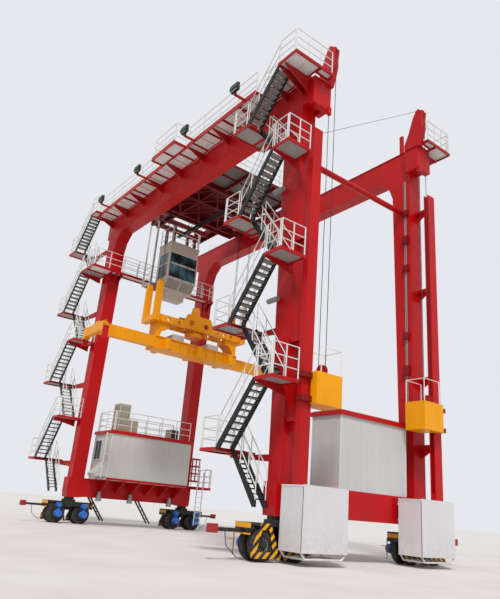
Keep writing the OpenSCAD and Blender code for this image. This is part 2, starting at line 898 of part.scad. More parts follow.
// One bogie about its own centre, with its outer side to +X
module bogie_frame() {
  h = axle_gap / 2;
  difference() {
    wall_yz(-bogie_beam_w / 2, bogie_beam_w / 2)
      polygon([
        [-h - 170, tyre_r - 170], [-h + 170, tyre_r - 170], [-h + 330, tyre_r + 190],
        [h - 330, tyre_r + 190], [h - 170, tyre_r - 170], [h + 170, tyre_r - 170],
        [h + 190, tyre_r + 170], [h - 60, deck_z + 10], [-h + 60, deck_z + 10],
        [-h - 190, tyre_r + 170]
      ]);
    axle_places() rotate([0, 90, 0]) cylinder(h = 400, r = axle_r + seat, center = true);
  }
  end = h + tyre_r + 80;
  difference() {
    block([-tyre_out - 30, -end, deck_z], [tyre_out + 30, end, deck_z + deck_h]);
    for (s = [-1, 1])
      translate([0, s * (h + 260), deck_z])
        cube([tyre_out * 1.1, 420, 400], center = true);
  }
  // swivel pin housing under the sill
  translate([0, 0, deck_z + deck_h]) cylinder(h = 120, d = 760, $fn = 48);
  translate([0, 0, deck_z + deck_h]) cylinder(h = sill_z - 60 - deck_z - deck_h, d = 560, $fn = 48);
  // inner side plate that carries the motors
  wall_yz(-tyre_out - 65, -tyre_out - 25)
    polygon([
      [-h - 260, tyre_r - 240], [-h + 260, tyre_r - 240], [-h + 130, deck_z - 160],
      [h - 130, deck_z - 160], [h - 260, tyre_r - 240], [h + 260, tyre_r - 240],
      [h + 140, deck_z + deck_h], [-h - 140, deck_z + deck_h]
    ]);
}

module at_bogies() {
  four_corners() translate([bogie_x, bogie_y, 0]) children();
}

module bogie_frames() {
  color("#2f3032") at_bogies() bogie_frame();
}

module bogie_guard() {
  h = axle_gap / 2;
  end = h + tyre_r + 80;
  top = deck_z + deck_h;
  // an open guard in front of each axle, wide at the foot and narrow at the deck
  for (s = [-1, 1]) translate([0, s * h, 0]) {
    wall_yz(guard_x, guard_x + 25)
      difference() {
        polygon([[-530, 120], [530, 120], [530, 380], [190, top], [-190, top], [-530, 380]]);
        polygon([[-340, 300], [340, 300], [150, deck_z - 110], [-150, deck_z - 110]]);
      }
    block([tyre_out + 30, -150, deck_z], [guard_x, 150, top]);
  }
  // the strut between them, forked at the foot
  wall_yz(guard_x, guard_x + 25)
    polygon([
      [-170, 80], [-90, 80], [0, 330], [90, 80], [170, 80], [60, 420], [60, top], [-60, top],
      [-60, 420]
    ]);
  block([tyre_out + 30, -60, deck_z], [guard_x, 60, top]);
  // plates across both ends
  for (s = [-1, 1]) {
    y = s * end;
    block([-tyre_out - 20, min(y, y + s * 25), 780], [tyre_out + 20, max(y, y + s * 25), top]);
  }
}

module bogie_guards() {
  color("#e0a020") at_bogies() bogie_guard();
}

module bogie_motors() {
  x = -tyre_out - 65;
  axle_places() {
    rotate([0, -90, 0]) translate([0, 0, -x]) cylinder(h = 420, d = motor_d, $fn = 40);
    translate([0, 0, 430]) rotate([0, -90, 0]) translate([0, 0, -x]) cylinder(h = 300, d = motor_d * 0.72);
  }
}

module drive_motors() {
  color("#2456a6") at_bogies() bogie_motors();
}

module tyre() {
  rotate([90, 0, 90])
    rotate_extrude($fn = 72)
      polygon([
        [hub_d / 2 - 20, 25], [hub_d / 2 + 60, 0], [tyre_r - 110, 0], [tyre_r - 30, 22],
        [tyre_r, 60], [tyre_r, tyre_w - 60], [tyre_r - 30, tyre_w - 22],
        [tyre_r - 110, tyre_w], [hub_d / 2 + 60, tyre_w], [hub_d / 2 - 20, tyre_w - 25]
      ]);
}

module twin_wheels() {
  rotate([0, 90, 0]) cylinder(h = 2 * tyre_out - 60, r = axle_r, center = true);
  for (s = [0, 1]) mirror([s, 0, 0]) translate([tyre_in, 0, 0]) {
    tyre();
    translate([40, 0, 0]) rotate([0, 90, 0]) cylinder(h = tyre_w - 110, d = hub_d - 30, $fn = 48);
    translate([tyre_w - 90, 0, 0]) rotate([0, 90, 0]) cylinder(h = 80, d = hub_d * 0.5);
  }
}

module wheels(side, end, axle) {
  color("#1c1c1e")
    translate([side * bogie_x, end * bogie_y + axle * axle_gap / 2, tyre_r]) twin_wheels();
}

// Trolley

trolley_x0 = trolley_x - 1700;
trolley_x1 = trolley_x + 3000;
outrigger_x0 = trolley_x - 4000;
deck_x1 = trolley_x + 5350;
deck_y = 2500;
// Half length of the well that the hoist ropes pass, and half width of the frame below the rails
well_x = 1000;
bearer_y = 2900;
bearer_h = 300;
// Cross beams that the cab hangs from
hanger_xs = [cab_front_x - 340, cab_front_x - cab_x + 140];
side_y = 2000;
truck_z = trolley_z + 100;
floor_z = trolley_z + 130;

module trolley_frame() {
  y = half_base;
  low = floor_z - bearer_h;
  cross_xs = [trolley_x0, trolley_x - well_x - 200, trolley_x + well_x, trolley_x1 - 200];
  color("#7d181c") {
    front_and_rear() {
      // end trucks with their wheels
      block([trolley_x0, y - 110, truck_z], [trolley_x1, y + 110, truck_z + 420]);
      for (x = [trolley_x0 + 450, trolley_x1 - 450])
        translate([x, y + 60, trolley_z + 6 + trolley_wheel_d / 2])
          rotate([90, 0, 0]) cylinder(h = 120, d = trolley_wheel_d, $fn = 40);
      // long beams under the floor
      block([trolley_x0, bearer_y - 200, low], [trolley_x1, bearer_y, floor_z]);
      block([trolley_x0, 1350, low], [trolley_x1, 1450, floor_z]);
      // outriggers over the cab
      block([outrigger_x0, 1350, low], [trolley_x0, 1480, floor_z]);
      block([outrigger_x0, 1780, low], [trolley_x0, 1900, floor_z]);
      block([outrigger_x0, 1350, floor_z], [trolley_x0, 1900, floor_z + 50]);
      // carriers of the end platform
      for (k = [900, deck_y - 100]) block([trolley_x1, k, low + 60], [deck_x1, k + 100, floor_z]);
    }
    // cross beams, which reach the trucks above the rails
    for (x = cross_xs) {
      block([x, -bearer_y, low], [x + 200, bearer_y, floor_z]);
      block([x, 100 - y, floor_z], [x + 200, y - 100, floor_z + 90]);
    }
    // floor plate
    block([trolley_x0, -deck_y, floor_z], [trolley_x1, deck_y, floor_z + 90]);
    // diagonals under the floor
    for (bay = [[trolley_x - well_x, trolley_x + well_x], [trolley_x + well_x + 100, trolley_x1 - 100]])
      front_and_rear()
        for (y = [[100, 1350], [1350, 100], [1450, 2700], [2700, 1450]])
          brace([bay[0], y[0]], [bay[1], y[1]], low);
    // end platform
    walk_deck(trolley_x1, deck_x1, -deck_y, deck_y, floor_z + deck_t);
    // sheave boxes that the hoist ropes hang from
    translate([trolley_x, 0, 0])
      four_corners()
        block([post_x - 160, post_y - 200, low], [post_x + 160, post_y + 140, floor_z + 520]);
    // cable pipe under the frame
    bar([trolley_x - 3300, 450, low - 20], [trolley_x + 1800, 450, low - 20], 120, 32);
    // cross beams and hangers of the cab
    for (x = hanger_xs) {
      block([x, -side_y, low], [x + 160, 1900, floor_z]);
      for (k = [-860, 700]) block([x, k, cab_top], [x + 160, k + 160, low]);
      block([x, -side_y, cab_floor - deck_t], [x + 80, 80 - side_y, low]);
    }
    // side platform at the cab
    block(
      [hanger_xs[1], -side_y, cab_floor - deck_t], [hanger_xs[0] + 160, -cab_w / 2, cab_floor]
    );
  }
}

// A flat bar between two points of the plan, standing on z
module brace(a, b, z) {
  v = b - a;
  translate([a[0], a[1], z])
    rotate([0, 0, atan2(v[1], v[0])])
      translate([0, -45, 0]) cube([norm(v), 90, 90]);
}

module trolley_machinery() {
  z = floor_z + 90;
  x = trolley_x + well_x + 1000;
  color("#4a4d50") {
    translate([x, 1500, z + 520]) rotate([90, 0, 0]) cylinder(h = 3000, d = 700, $fn = 48);
    for (y = [-1750, 1500]) block([x - 420, y, z], [x + 420, y + 250, z + 900]);
    block([x - 300, 1750, z], [x + 300, 2500, z + 700]);
    translate([x, -1750, z + 520]) rotate([90, 0, 0]) cylinder(h = 700, d = 420);
    block([x - 150, -2450, z], [x + 150, -1750, z + 400]);
    // drive on the cab side
    block([trolley_x0 + 60, 1300, z], [trolley_x0 + 660, 2300, z + 900]);
    block([trolley_x0 + 60, -2400, z], [trolley_x0 + 660, -1200, z + 1300]);
  }
}

module trolley_rails() {
  z = floor_z + 90;
  zp = floor_z + deck_t;
  y = half_base - 160;
  yd = deck_y - 40;
  color("#e6e4e0") {
    rail_run([trolley_x0 + 30, -y, z], [trolley_x0 + 30, y, z], 5);
    rail_run([deck_x1 - 40, -yd, zp], [deck_x1 - 40, yd, zp], 4);
    for (s = [-1, 1]) rail_run([trolley_x1 + 60, s * yd, zp], [deck_x1 - 120, s * yd, zp], 2);
    // cage over the cab
    zc = cab_top;
    x0 = cab_front_x - cab_x + 30;
    x1 = cab_front_x - 30;
    yc = cab_w / 2 - 30;
    rail_run([x0, -yc, zc], [x1, -yc, zc], 2);
    rail_run([x1, 80 - yc, zc], [x1, yc - 80, zc], 2);
    rail_run([x0, yc, zc], [x1, yc, zc], 2);
    // side platform
    rail_run(
      [hanger_xs[1] + 120, 40 - side_y, cab_floor], [hanger_xs[0] - 40, 40 - side_y, cab_floor], 1
    );
    // along the outriggers
    for (s = [-1, 1])
      rail_run([outrigger_x0 + 40, s * 1860, floor_z + 50], [trolley_x0 - 60, s * 1860, floor_z + 50], 3);
  }
}

cab_wall = 60;
footwell_in = 340;
// Lower and upper row of windows, from the cab's sill
window_rows = [[70, 960], [1040, 1740]];

module cab_body() {
  x0 = cab_front_x - cab_x;
  x1 = cab_front_x;
  y = cab_w / 2;
  color("#c9c2b8")
    difference() {
      union() {
        wall_xz(-y, y)
          polygon([
            [x0, cab_floor], [x1 - 400, cab_floor], [x1, cab_sill], [x1, cab_top], [x0, cab_top]
          ]);
        // narrower footwell
        wall_xz(60 - y + footwell_in, y - 60 - footwell_in)
          polygon([
            [x0 + 150, cab_floor + 40], [x0 + 200, cab_z], [x1 - 600, cab_z],
            [x1 - 390, cab_floor + 40]
          ]);
      }
      // room inside
      wall_xz(-y + cab_wall, y - cab_wall)
        polygon([
          [x0 + cab_wall, cab_floor + cab_wall], [x1 - 440, cab_floor + cab_wall],
          [x1 - cab_wall, cab_sill + 20], [x1 - cab_wall, cab_top - cab_wall],
          [x0 + cab_wall, cab_top - cab_wall]
        ]);
      for (row = window_rows) {
        front_window(row, -y, x1 - 100, x1 + 10);
        for (s = [-1, 1]) side_window(row, min(s * (y - 100), s * (y + 10)), max(s * (y - 100), s * (y + 10)));
      }
    }
}

// A front window's row, from x0 to x1
module front_window(row, y, x0, x1) {
  block([x0, y + 110, cab_sill + row[0]], [x1, -y - 110, cab_sill + row[1]]);
}

// A side window's row, from y0 to y1
module side_window(row, y0, y1) {
  block(
    [cab_front_x - cab_x + 240, y0, cab_sill + row[0]], [cab_front_x - 140, y1, cab_sill + row[1]]
  );
}

module cab_glass() {
  y = cab_w / 2;
  color("#3f5a60")
    for (row = window_rows) {
      front_window(row, -y, cab_front_x - 45, cab_front_x - 25);
      for (s = [-1, 1]) side_window(row, min(s * (y - 45), s * (y - 25)), max(s * (y - 45), s * (y - 25)));
    }
}

// Headblock and spreader

post_y = 2950;
post_x = 600;
web_x = 550;
web_t = 130;

module headblock() {
  z = headblock_z;
  foot = z - spreader_z - spreader_h;
  color("#f0a818")
    translate([trolley_x, 0, 0]) {
      // two side plates with their hump and lightening holes
      for (s = [-1, 1]) headblock_plate(min(s * web_x, s * (web_x - web_t)));
      // cross pieces between the plates
      for (y = [-2600, -1500, -700, 700, 1500, 2600])
        block([web_t - web_x - 10, y - 80, z + 20], [web_x - web_t + 10, y + 80, z + headblock_h - 30]);
      // the middle with its tower and the turntable below
      block([web_t - web_x - 10, -500, z + 20], [web_x - web_t + 10, 300, z + headblock_h + 420]);
      translate([0, -100, z + headblock_h + 400]) cylinder(h = 680, d1 = 620, d2 = 420, $fn = 48);
      translate([0, -100, z - 340]) cylinder(h = 200, d = 1000, $fn = 64);
      translate([0, -100, z - 150]) cylinder(h = 200, d = 700, $fn = 48);
      front_and_rear() {
        // feet that lock on the spreader, hollowed by a curve on the inner side
        wall_yz(-420, 420)
          difference() {
            polygon([[1900, z + 10], [2700, z + 10], [2700, z - foot], [1900, z - foot]]);
            translate([1820, z - foot - 60]) circle(r = 640, $fn = 64);
          }
        // saddle and the uprights that the ropes come down to
        block([-post_x - 100, post_y - 180, z - 60], [post_x + 100, post_y + 180, z + 260]);
        near_and_far()
          wall_yz(post_x - 100, post_x + 100)
            polygon([
              [post_y - 180, z + 200], [post_y + 180, z + 200], [post_y + 180, z + upright_h - 260],
              [post_y + 110, z + upright_h], [post_y - 110, z + upright_h],
              [post_y - 180, z + upright_h - 260]
            ]);
      }
    }
}

// A side plate of the headblock whose outer or inner face starts at x
module headblock_plate(x) {
  half = headblock_len / 2;
  z = headblock_z;
  top = z + headblock_h;
  difference() {
    wall_yz(x, x + web_t)
      polygon([
        [-half, z], [-half, top - 80], [-half + 200, top], [-1100, top], [-850, top + 470],
        [650, top + 470], [900, top], [half - 200, top], [half, top - 80], [half, z]
      ]);
    for (y = [-2100, -1400, 1200, 1700, 2200])
      translate([x + web_t / 2, y, z + headblock_h / 2])
        rotate([0, 90, 0]) cylinder(h = 400, d = 190, center = true, $fn = 40);
    for (y = [-600, 400])
      translate([x + web_t / 2, y, z + headblock_h * 0.9])
        rotate([0, 90, 0]) cylinder(h = 400, d = 330, center = true, $fn = 48);
  }
}

tube_w = 460;
tube_x = tube_w / 2 + 15;
main_half = 2740;
beam_w = 380;
beam_h = spreader_h - 140;
end_beam_top = 560;

module spreader_frame() {
  z = spreader_z + 60;
  color("#f0a818")
    translate([trolley_x, 0, 0])
      difference() {
        union() {
          for (s = [-1, 1])
            translate([s * tube_x, 0, 0])
              block([-tube_w / 2 - 20, -main_half, z], [tube_w / 2 + 20, main_half, z + spreader_h - 60]);
          for (y = [-2100, 0, 2100])
            block([-850, y - 130, z], [850, y + 130, z + spreader_h - 200]);
        }
        for (s = [-1, 1])
          block(
            [s * tube_x - beam_w / 2 - gap, -main_half - 10, z + 40],
            [s * tube_x + beam_w / 2 + gap, main_half + 10, z + 40 + beam_h + gap]
          );
      }
}

// The front arm; its beam runs in the near tube
module spreader_arm() {
  z = spreader_z + 100 + seat;
  half = spreader_len / 2;
  block([tube_x - beam_w / 2, -half + 60, z], [tube_x + beam_w / 2, -main_half + 900, z + beam_h - seat]);
  // end beam with its corner housings
  block([-1180, -half, spreader_z + 90], [1180, -half + 260, spreader_z + end_beam_top]);
  for (s = [-1, 1]) {
    block([s * 1110 - 108, -half, spreader_z], [s * 1110 + 108, -half + 330, spreader_z + 120]);
    // corner guide flap
    block([s * 1240 - 22, -half + 30, spreader_z - 330], [s * 1240 + 22, -half + 330, spreader_z + 420]);
    block([s * 1200 - 40, -half + 30, spreader_z + 240], [s * 1200 + 40, -half + 330, spreader_z + 420]);
  }
}

module hoist_ropes() {
  z0 = headblock_z + upright_h;
  color("#55565a")
    translate([trolley_x, 0, 0])
      four_corners()
        for (d = [-60, 60])
          translate([post_x + d, post_y, z0]) cylinder(h = floor_z - bearer_h - z0, d = rope_d, $fn = 16);
}

// Hanging weights

module weight() {
  x0 = weight_x_in;
  x1 = weight_x_in + weight_x;
  y0 = weight_y_in;
  color("#f0a818") {
    block([x0, y0, weight_z], [x1, y0 + weight_y, weight_z + weight_h]);
    block([column_x + column_d + 50, y0, weight_z], [x1, column_y_in + 100, weight_z + weight_h]);
    // guide shoes round the column
    for (z = [weight_z + 60, weight_z + weight_h - 240]) {
      x = column_x + column_d;
      block([x + 50, y0, z], [x + 150, shoe_y, z + 180]);
      block([column_x + 120, column_y_out + 50, z], [x + 150, shoe_y, z + 180]);
    }
    // handrail on top
    top = weight_z + weight_h;
    for (x = [x0 + 30, x1 - 30]) {
      for (y = [y0 + 30, y0 + weight_y - 30]) bar([x, y, top - 20], [x, y, top + weight_rail_h], 40);
      bar([x, y0 + 30, top + weight_rail_h], [x, y0 + weight_y - 30, top + weight_rail_h], 34);
    }
    bar([x0 + 30, y0 + 30, top + weight_rail_h], [x1 - 30, y0 + 30, top + weight_rail_h], 34);
    // cheek plates with the sheave between them
    for (d = [-65, 35])
      wall_xz(horn_y + d, horn_y + d + 30)
        translate([rope_x - sheave_d / 2, 0]) {
          translate([0, weight_sheave_z]) circle(r = sheave_d * 0.66, $fn = 48);
          translate([-sheave_d * 0.66, weight_z + weight_h])
            square([sheave_d * 1.32, weight_sheave_z - weight_z - weight_h]);
        }
    translate([rope_x - sheave_d / 2, horn_y, weight_sheave_z]) rotate([90, 0, 0]) {
      cylinder(h = 60, d = sheave_d - rope_d - 2 * seat, center = true, $fn = 48);
      cylinder(h = 160, d = 70, center = true);
    }
  }
}

// The fall from the horn's sheave down to the weight's
module live_rope() {
  color("#55565a")
    translate([rope_x, horn_y, weight_sheave_z])
      cylinder(h = horn_sheave_z - weight_sheave_z, d = rope_d, $fn = 16);
}

// The fall from the weight's sheave up to its anchor
module dead_rope() {
  color("#55565a")
    translate([rope_x - sheave_d, horn_y, weight_sheave_z])
      cylinder(h = anchor_z - weight_sheave_z, d = rope_d, $fn = 16);
}

place() girders();
place() legs();
place() sills();
place() horns();
place() walkways();
place() walkway_rails();
place() stair_flights();
place() stair_landings();
place() stair_rails();
place() machine_houses();
place() house_roofs();
place() roof_units();
place() cabinets();
place() cabinet_frames();
place() guide_columns();
place() floodlights();
place() bumper_arms();
place() sill_ladders();
place() bogie_frames();
place() bogie_guards();
place() drive_motors();
place() wheels(1, -1, -1);  // near_front_wheels_one
place() wheels(1, -1, 1);  // near_front_wheels_two
place() wheels(1, 1, -1);  // near_rear_wheels_one
place() wheels(1, 1, 1);  // near_rear_wheels_two
place() wheels(-1, -1, -1);  // far_front_wheels_one
place() wheels(-1, -1, 1);  // far_front_wheels_two
place() wheels(-1, 1, -1);  // far_rear_wheels_one
place() wheels(-1, 1, 1);  // far_rear_wheels_two
place() trolley_frame();
place() trolley_machinery();
place() trolley_rails();
place() cab_body();
place() cab_glass();
place() headblock();
place() spreader_frame();
place() hoist_ropes();
place()  // spreader_arm_front
  color("#f0a818") translate([trolley_x, 0, 0]) spreader_arm();
place()  // spreader_arm_rear
  color("#f0a818") translate([trolley_x, 0, 0]) rotate([0, 0, 180]) spreader_arm();
place() mirror([0, 1, 0]) weight();  // weight_front
place() weight();  // weight_rear
place() mirror([0, 1, 0]) live_rope();  // front_live_rope
place() live_rope();  // rear_live_rope
place() mirror([0, 1, 0]) dead_rope();  // front_dead_rope
place() dead_rope();  // rear_dead_rope
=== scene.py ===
"""Looks of a rubber tyred gantry crane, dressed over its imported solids."""

import logging
import math
from dataclasses import dataclass, field
from enum import Enum
from typing import Iterable, Iterator, Sequence, Tuple, Union

import bpy
from mathutils import Matrix, Vector


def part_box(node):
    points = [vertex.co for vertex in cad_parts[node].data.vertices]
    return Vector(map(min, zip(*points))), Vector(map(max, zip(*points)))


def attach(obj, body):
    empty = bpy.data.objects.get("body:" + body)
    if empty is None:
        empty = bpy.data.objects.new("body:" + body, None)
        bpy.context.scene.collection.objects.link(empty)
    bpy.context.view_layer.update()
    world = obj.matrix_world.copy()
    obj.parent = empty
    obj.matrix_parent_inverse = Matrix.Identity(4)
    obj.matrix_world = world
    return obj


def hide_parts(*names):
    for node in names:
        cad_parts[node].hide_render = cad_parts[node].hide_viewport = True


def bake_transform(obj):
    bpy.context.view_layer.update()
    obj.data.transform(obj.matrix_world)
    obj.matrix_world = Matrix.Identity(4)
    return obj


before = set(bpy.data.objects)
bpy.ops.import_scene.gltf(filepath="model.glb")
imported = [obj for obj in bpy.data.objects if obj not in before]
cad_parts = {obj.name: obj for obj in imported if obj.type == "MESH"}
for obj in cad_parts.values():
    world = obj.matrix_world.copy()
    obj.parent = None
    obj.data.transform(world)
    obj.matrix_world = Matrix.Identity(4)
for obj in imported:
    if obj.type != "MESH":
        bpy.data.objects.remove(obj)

logging.basicConfig(level=logging.INFO, format="%(message)s")
LOG = logging.getLogger("crane")

SET_X = 1.025
"""How far the crane's middle stands from the origin along X, in metres."""

Point = Sequence[float]
Span = Tuple[float, float]
Socket = bpy.types.NodeSocket


def at(x: float, y: float, z: float) -> Vector:
    """Turns a place measured from the crane's middle into the frame.

    Args:
        x: Metres across the stack.
        y: Metres along the travel.
        z: Metres over the ground.

    Returns:
        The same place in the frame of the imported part.
    """
    return Vector((x + SET_X, y, z))


def linear(colour: str) -> tuple:
    """Turns a hex sRGB colour into the linear one that a shader reads.

    Args:
        colour: Six hex digits with a leading hash.

    Returns:
        Linear red, green, blue and an alpha of one.
    """
    parts = [int(colour[i:i + 2], 16) / 255 for i in (1, 3, 5)]
    flat = [c / 12.92 if c <= 0.04045 else ((c + 0.055) / 1.055) ** 2.4 for c in parts]
    return (*flat, 1.0)


class Graph:
    """A material's node tree, where one function adds every node.

    Attributes:
        material: The material.
        tree: Its nodes and links.
        shader: The shader that the patterns end in.
        place: Object coordinates, and x, y and z as their three parts.
    """

    def __init__(self, name: str) -> None:
        """Starts a material with its Object coordinates at hand.

        Args:
            name: The material's name.
        """
        self.material = bpy.data.materials.new(name)
        self.material.use_nodes = True
        self.tree = self.material.node_tree
        self.shader = self.tree.nodes["Principled BSDF"]
        self.place = self.add("TexCoord", out="Object")
        self.x, self.y, self.z = self.add("SeparateXYZ", {0: self.place}).node.outputs

    def fill(self, node: bpy.types.Node, inputs: dict) -> None:
        """Sets a node's inputs.

        Args:
            node: The node.
            inputs: Sockets, numbers or hex colours by the input's name or number.
        """
        for key, value in inputs.items():
            if isinstance(value, bpy.types.NodeSocket):
                self.tree.links.new(value, node.inputs[key])
            else:
                node.inputs[key].default_value = linear(value) if isinstance(value, str) else value

    def add(self, kind: str, inputs=(), out: Union[int, str] = 0, **settings) -> Socket:
        """Adds one node with its settings and links.

        Args:
            kind: The node's type without the ShaderNode prefix.
            inputs: What its inputs get, in their order or by name or number.
            out: Name or number of the output that is wanted.
            settings: Properties of the node itself.

        Returns:
            The output's socket.
        """
        node = self.tree.nodes.new("ShaderNode" + kind)
        for key, value in settings.items():
            setattr(node, key, value)
        self.fill(node, inputs if isinstance(inputs, dict) else dict(enumerate(inputs)))
        return node.outputs[out]

    def patches(
        self, scale: float, detail: float, read: Span, give: Span = (0.0, 1.0), stretch: Point = ()
    ) -> Socket:
        """Gives soft patches or streaks, as weather and dust leave them.

        Args:
            scale: Patches a metre.
            detail: Octaves of the noise.
            read: Range of the noise between bare and full patches.
            give: Values on bare and on full patches.
            stretch: Scale by axis, for streaks.

        Returns:
            The patches' socket.
        """
        place = self.add("Mapping", {"Vector": self.place, "Scale": stretch}) if stretch else self.place
        noise = self.add("TexNoise", {"Vector": place, "Scale": scale, "Detail": detail})
        return self.add("MapRange", (noise, *read, *give))

    def facing(self, axis: int, least: float) -> Socket:
        """Tells the faces that look along an axis, either way.

        Args:
            axis: The axis, 0 to 2.
            least: Least part of the normal that lies along it.

        Returns:
            The socket of one on those faces and nothing elsewhere.
        """
        normal = self.add("NewGeometry", out="True Normal")
        along = self.add("SeparateXYZ", {0: normal}).node.outputs[axis]
        size = self.add("Math", (along,), operation="ABSOLUTE")
        return self.add("Math", (size, least), operation="GREATER_THAN")

    def cycle(self, distance: Socket, pitch: float) -> Socket:
        """Gives how far a place is through one turn of a repeating pattern.

        Args:
            distance: Distance along the pattern.
            pitch: Length of one turn, in metres.

        Returns:
            The socket of a share from 0 to 1.
        """
        turns = self.add("Math", (distance, pitch), operation="DIVIDE")
        return self.add("Math", (turns,), operation="FRACT")


@dataclass(frozen=True)
class Coat:
    """What a surface of the crane is made of or painted with.

    Attributes:
        name: The material's name.
        colour: Its sRGB colour.
    """

    name: str
    colour: str

    def surface(self, graph: Graph) -> dict:
        """Gives what the shader reads.

        Args:
            graph: The material being made.

        Returns:
            Sockets or values by the shader's input.
        """
        return {"Base Color": self.colour}

    def build(self) -> bpy.types.Material:
        """Makes the material.

        Returns:
            The finished material.
        """
        graph = Graph(self.name)
        graph.fill(graph.shader, self.surface(graph))
        return graph.material


@dataclass(frozen=True)
class Paint(Coat):
    """Epoxy paint sprayed on steel: a soft gloss with orange peel, faded and streaked by rain.

    Attributes:
        roughness: Roughness of the clean paint.
        fade: Share by which the colour wanders.
        streaks: Depth of the rain streaks.
        metallic: Metallic share.
        gloss: Level of the clear reflection.
        rain_dirt: Colour that the rain leaves.
        road_dust: Colour of the dust near the ground.
        dusty: Heights at which the dust is thickest and where it ends.
        dust_depth: Share of dust where it is thickest.
        peel: Bumps of the sprayed coat, a metre.
        waves: Dents of the plates, a metre.
    """

    roughness: float = 0.38
    fade: float = 0.1
    streaks: float = 0.3
    metallic: float = 0.0
    gloss: float = 0.25
    rain_dirt: str = "#4a3a34"
    road_dust: str = "#8d7f70"
    dusty: Span = (0.1, 1.6)
    dust_depth: float = 0.3
    peel: float = 160
    waves: float = 1.4

    def tint(self, graph: Graph) -> Union[str, Socket]:
        """Gives the colour before fading and streaks.

        Args:
            graph: The material being made.

        Returns:
            The hex colour, or the socket of a pattern.
        """
        return self.colour

    def surface(self, graph: Graph) -> dict:
        """Weathers the tint and gives the coat its gloss and its peel.

        Args:
            graph: The material being made.

        Returns:
            Sockets or values by the shader's input.
        """
        fading = graph.patches(0.5, 4, (0.3, 0.7), (1 - self.fade, 1 + self.fade))
        faded = graph.add("HueSaturation", {"Color": self.tint(graph), "Value": fading})
        rain = graph.patches(1.0, 5, (0.5, 0.78), (0, self.streaks), (7, 7, 0.3))
        streaked = graph.add("Mix", {0: rain, 6: faded, 7: self.rain_dirt}, 2, data_type="RGBA")
        low = graph.add("MapRange", (graph.z, *self.dusty, self.dust_depth, 0.0))
        patches = graph.patches(6, 4, (0.35, 0.7))
        dust = graph.add("Math", (low, patches), operation="MULTIPLY")
        peel = graph.add("TexNoise", {"Vector": graph.place, "Scale": self.peel, "Detail": 2})
        waves = graph.add("TexNoise", {"Vector": graph.place, "Scale": self.waves, "Detail": 2})
        uneven = graph.add("Math", (waves, 4.0, peel), operation="MULTIPLY_ADD")
        worn = (self.roughness - 0.07, self.roughness + 0.1)
        return {
            "Base Color": graph.add(
                "Mix", {0: dust, 6: streaked, 7: self.road_dust}, 2, data_type="RGBA"
            ),
            "Roughness": graph.patches(3, 4, (0.3, 0.7), worn),
            "Metallic": self.metallic,
            "Specular IOR Level": self.gloss,
            "Normal": graph.add("Bump", {"Strength": 0.25, "Distance": 0.002, "Height": uneven}),
        }


@dataclass(frozen=True)
class DeckPaint(Paint):
    """Paint on a deck's frame, with galvanised grating on the deck itself.

    Attributes:
        levels: Heights of the deck tops; without any, every level face is grating.
        thickness: Thickness of the deck.
        bar: Pitch of the bearing bars, in metres.
        cross: Pitch of the cross bars, in metres.
        gap_tone_and_painted_light: Colour that shows between the bars; on the walks it is painted sky
            light, on the trolley's deck painted shade.
        bar_tone_and_painted_light: Colour of the bars; painted light makes it pale on the walks, painted
            shade makes it dark on the trolley's deck.
    """

    levels: tuple = ()
    thickness: float = 0.06
    bar: float = 0.034
    cross: float = 0.1
    gap_tone_and_painted_light: str = "#a9a6a2"
    bar_tone_and_painted_light: str = "#8b8884"

    def tint(self, graph: Graph) -> Socket:
        """Gives frame paint or grating by the face's height and slope.

        Args:
            graph: The material being made.

        Returns:
            The colour's socket.
        """
        level = graph.facing(2, 0.9)
        near = 0.0
        for height in self.levels:
            for face in (height, height - self.thickness):
                here = graph.add("Math", (graph.z, face, 0.006), operation="COMPARE")
                near = graph.add("Math", (here, near), operation="MAXIMUM")
        if self.levels:
            level = graph.add("Math", (level, near), operation="MULTIPLY")
        bars = graph.add("Math", (graph.cycle(graph.x, self.bar), 0.3), operation="LESS_THAN")
        cross = graph.add("Math", (graph.cycle(graph.y, self.cross), 0.14), operation="LESS_THAN")
        solid = graph.add("Math", (bars, cross), operation="MAXIMUM")
        # The gap and bar tones hold painted light: pale sky light on the walks, painted shade on the
        # trolley's deck.
        grating = graph.add("Mix", {0: solid, 6: self.gap_tone_and_painted_light, 7: self.bar_tone_and_painted_light}, 2, data_type="RGBA")
        return graph.add("Mix", {0: level, 6: self.colour, 7: grating}, 2, data_type="RGBA")


@dataclass(frozen=True)
class TrolleyPaint(DeckPaint):
    """Dark red on the trolley, grating darkened by painted shade on its end platform and white on the cab's
    hangers.

    Attributes:
        deck_x: Where the end platform starts, in the frame.
        hangers_y: Where the hangers of the side platform start.
        hangers_z: Height of the hangers' top.
        hanger_tone: Colour of the hangers.
    """

    deck_x: float = 0.43
    hangers_y: float = -1.86
    hangers_z: float = 18.4
    hanger_tone: str = "#d5d2cd"

    def tint(self, graph: Graph) -> Socket:
        """Gives the colour by place.

        Args:
            graph: The material being made.

        Returns:
            The colour's socket.
        """
        decked = super().tint(graph)
        deck = graph.add("Math", (graph.x, self.deck_x), operation="GREATER_THAN")
        plain = graph.add("Mix", {0: deck, 6: self.colour, 7: decked}, 2, data_type="RGBA")
        beside = graph.add("Math", (graph.y, self.hangers_y), operation="LESS_THAN")
        below = graph.add("Math", (graph.z, self.hangers_z), operation="LESS_THAN")
        hangers = graph.add("Math", (beside, below), operation="MULTIPLY")
        return graph.add("Mix", {0: hangers, 6: plain, 7: self.hanger_tone}, 2, data_type="RGBA")


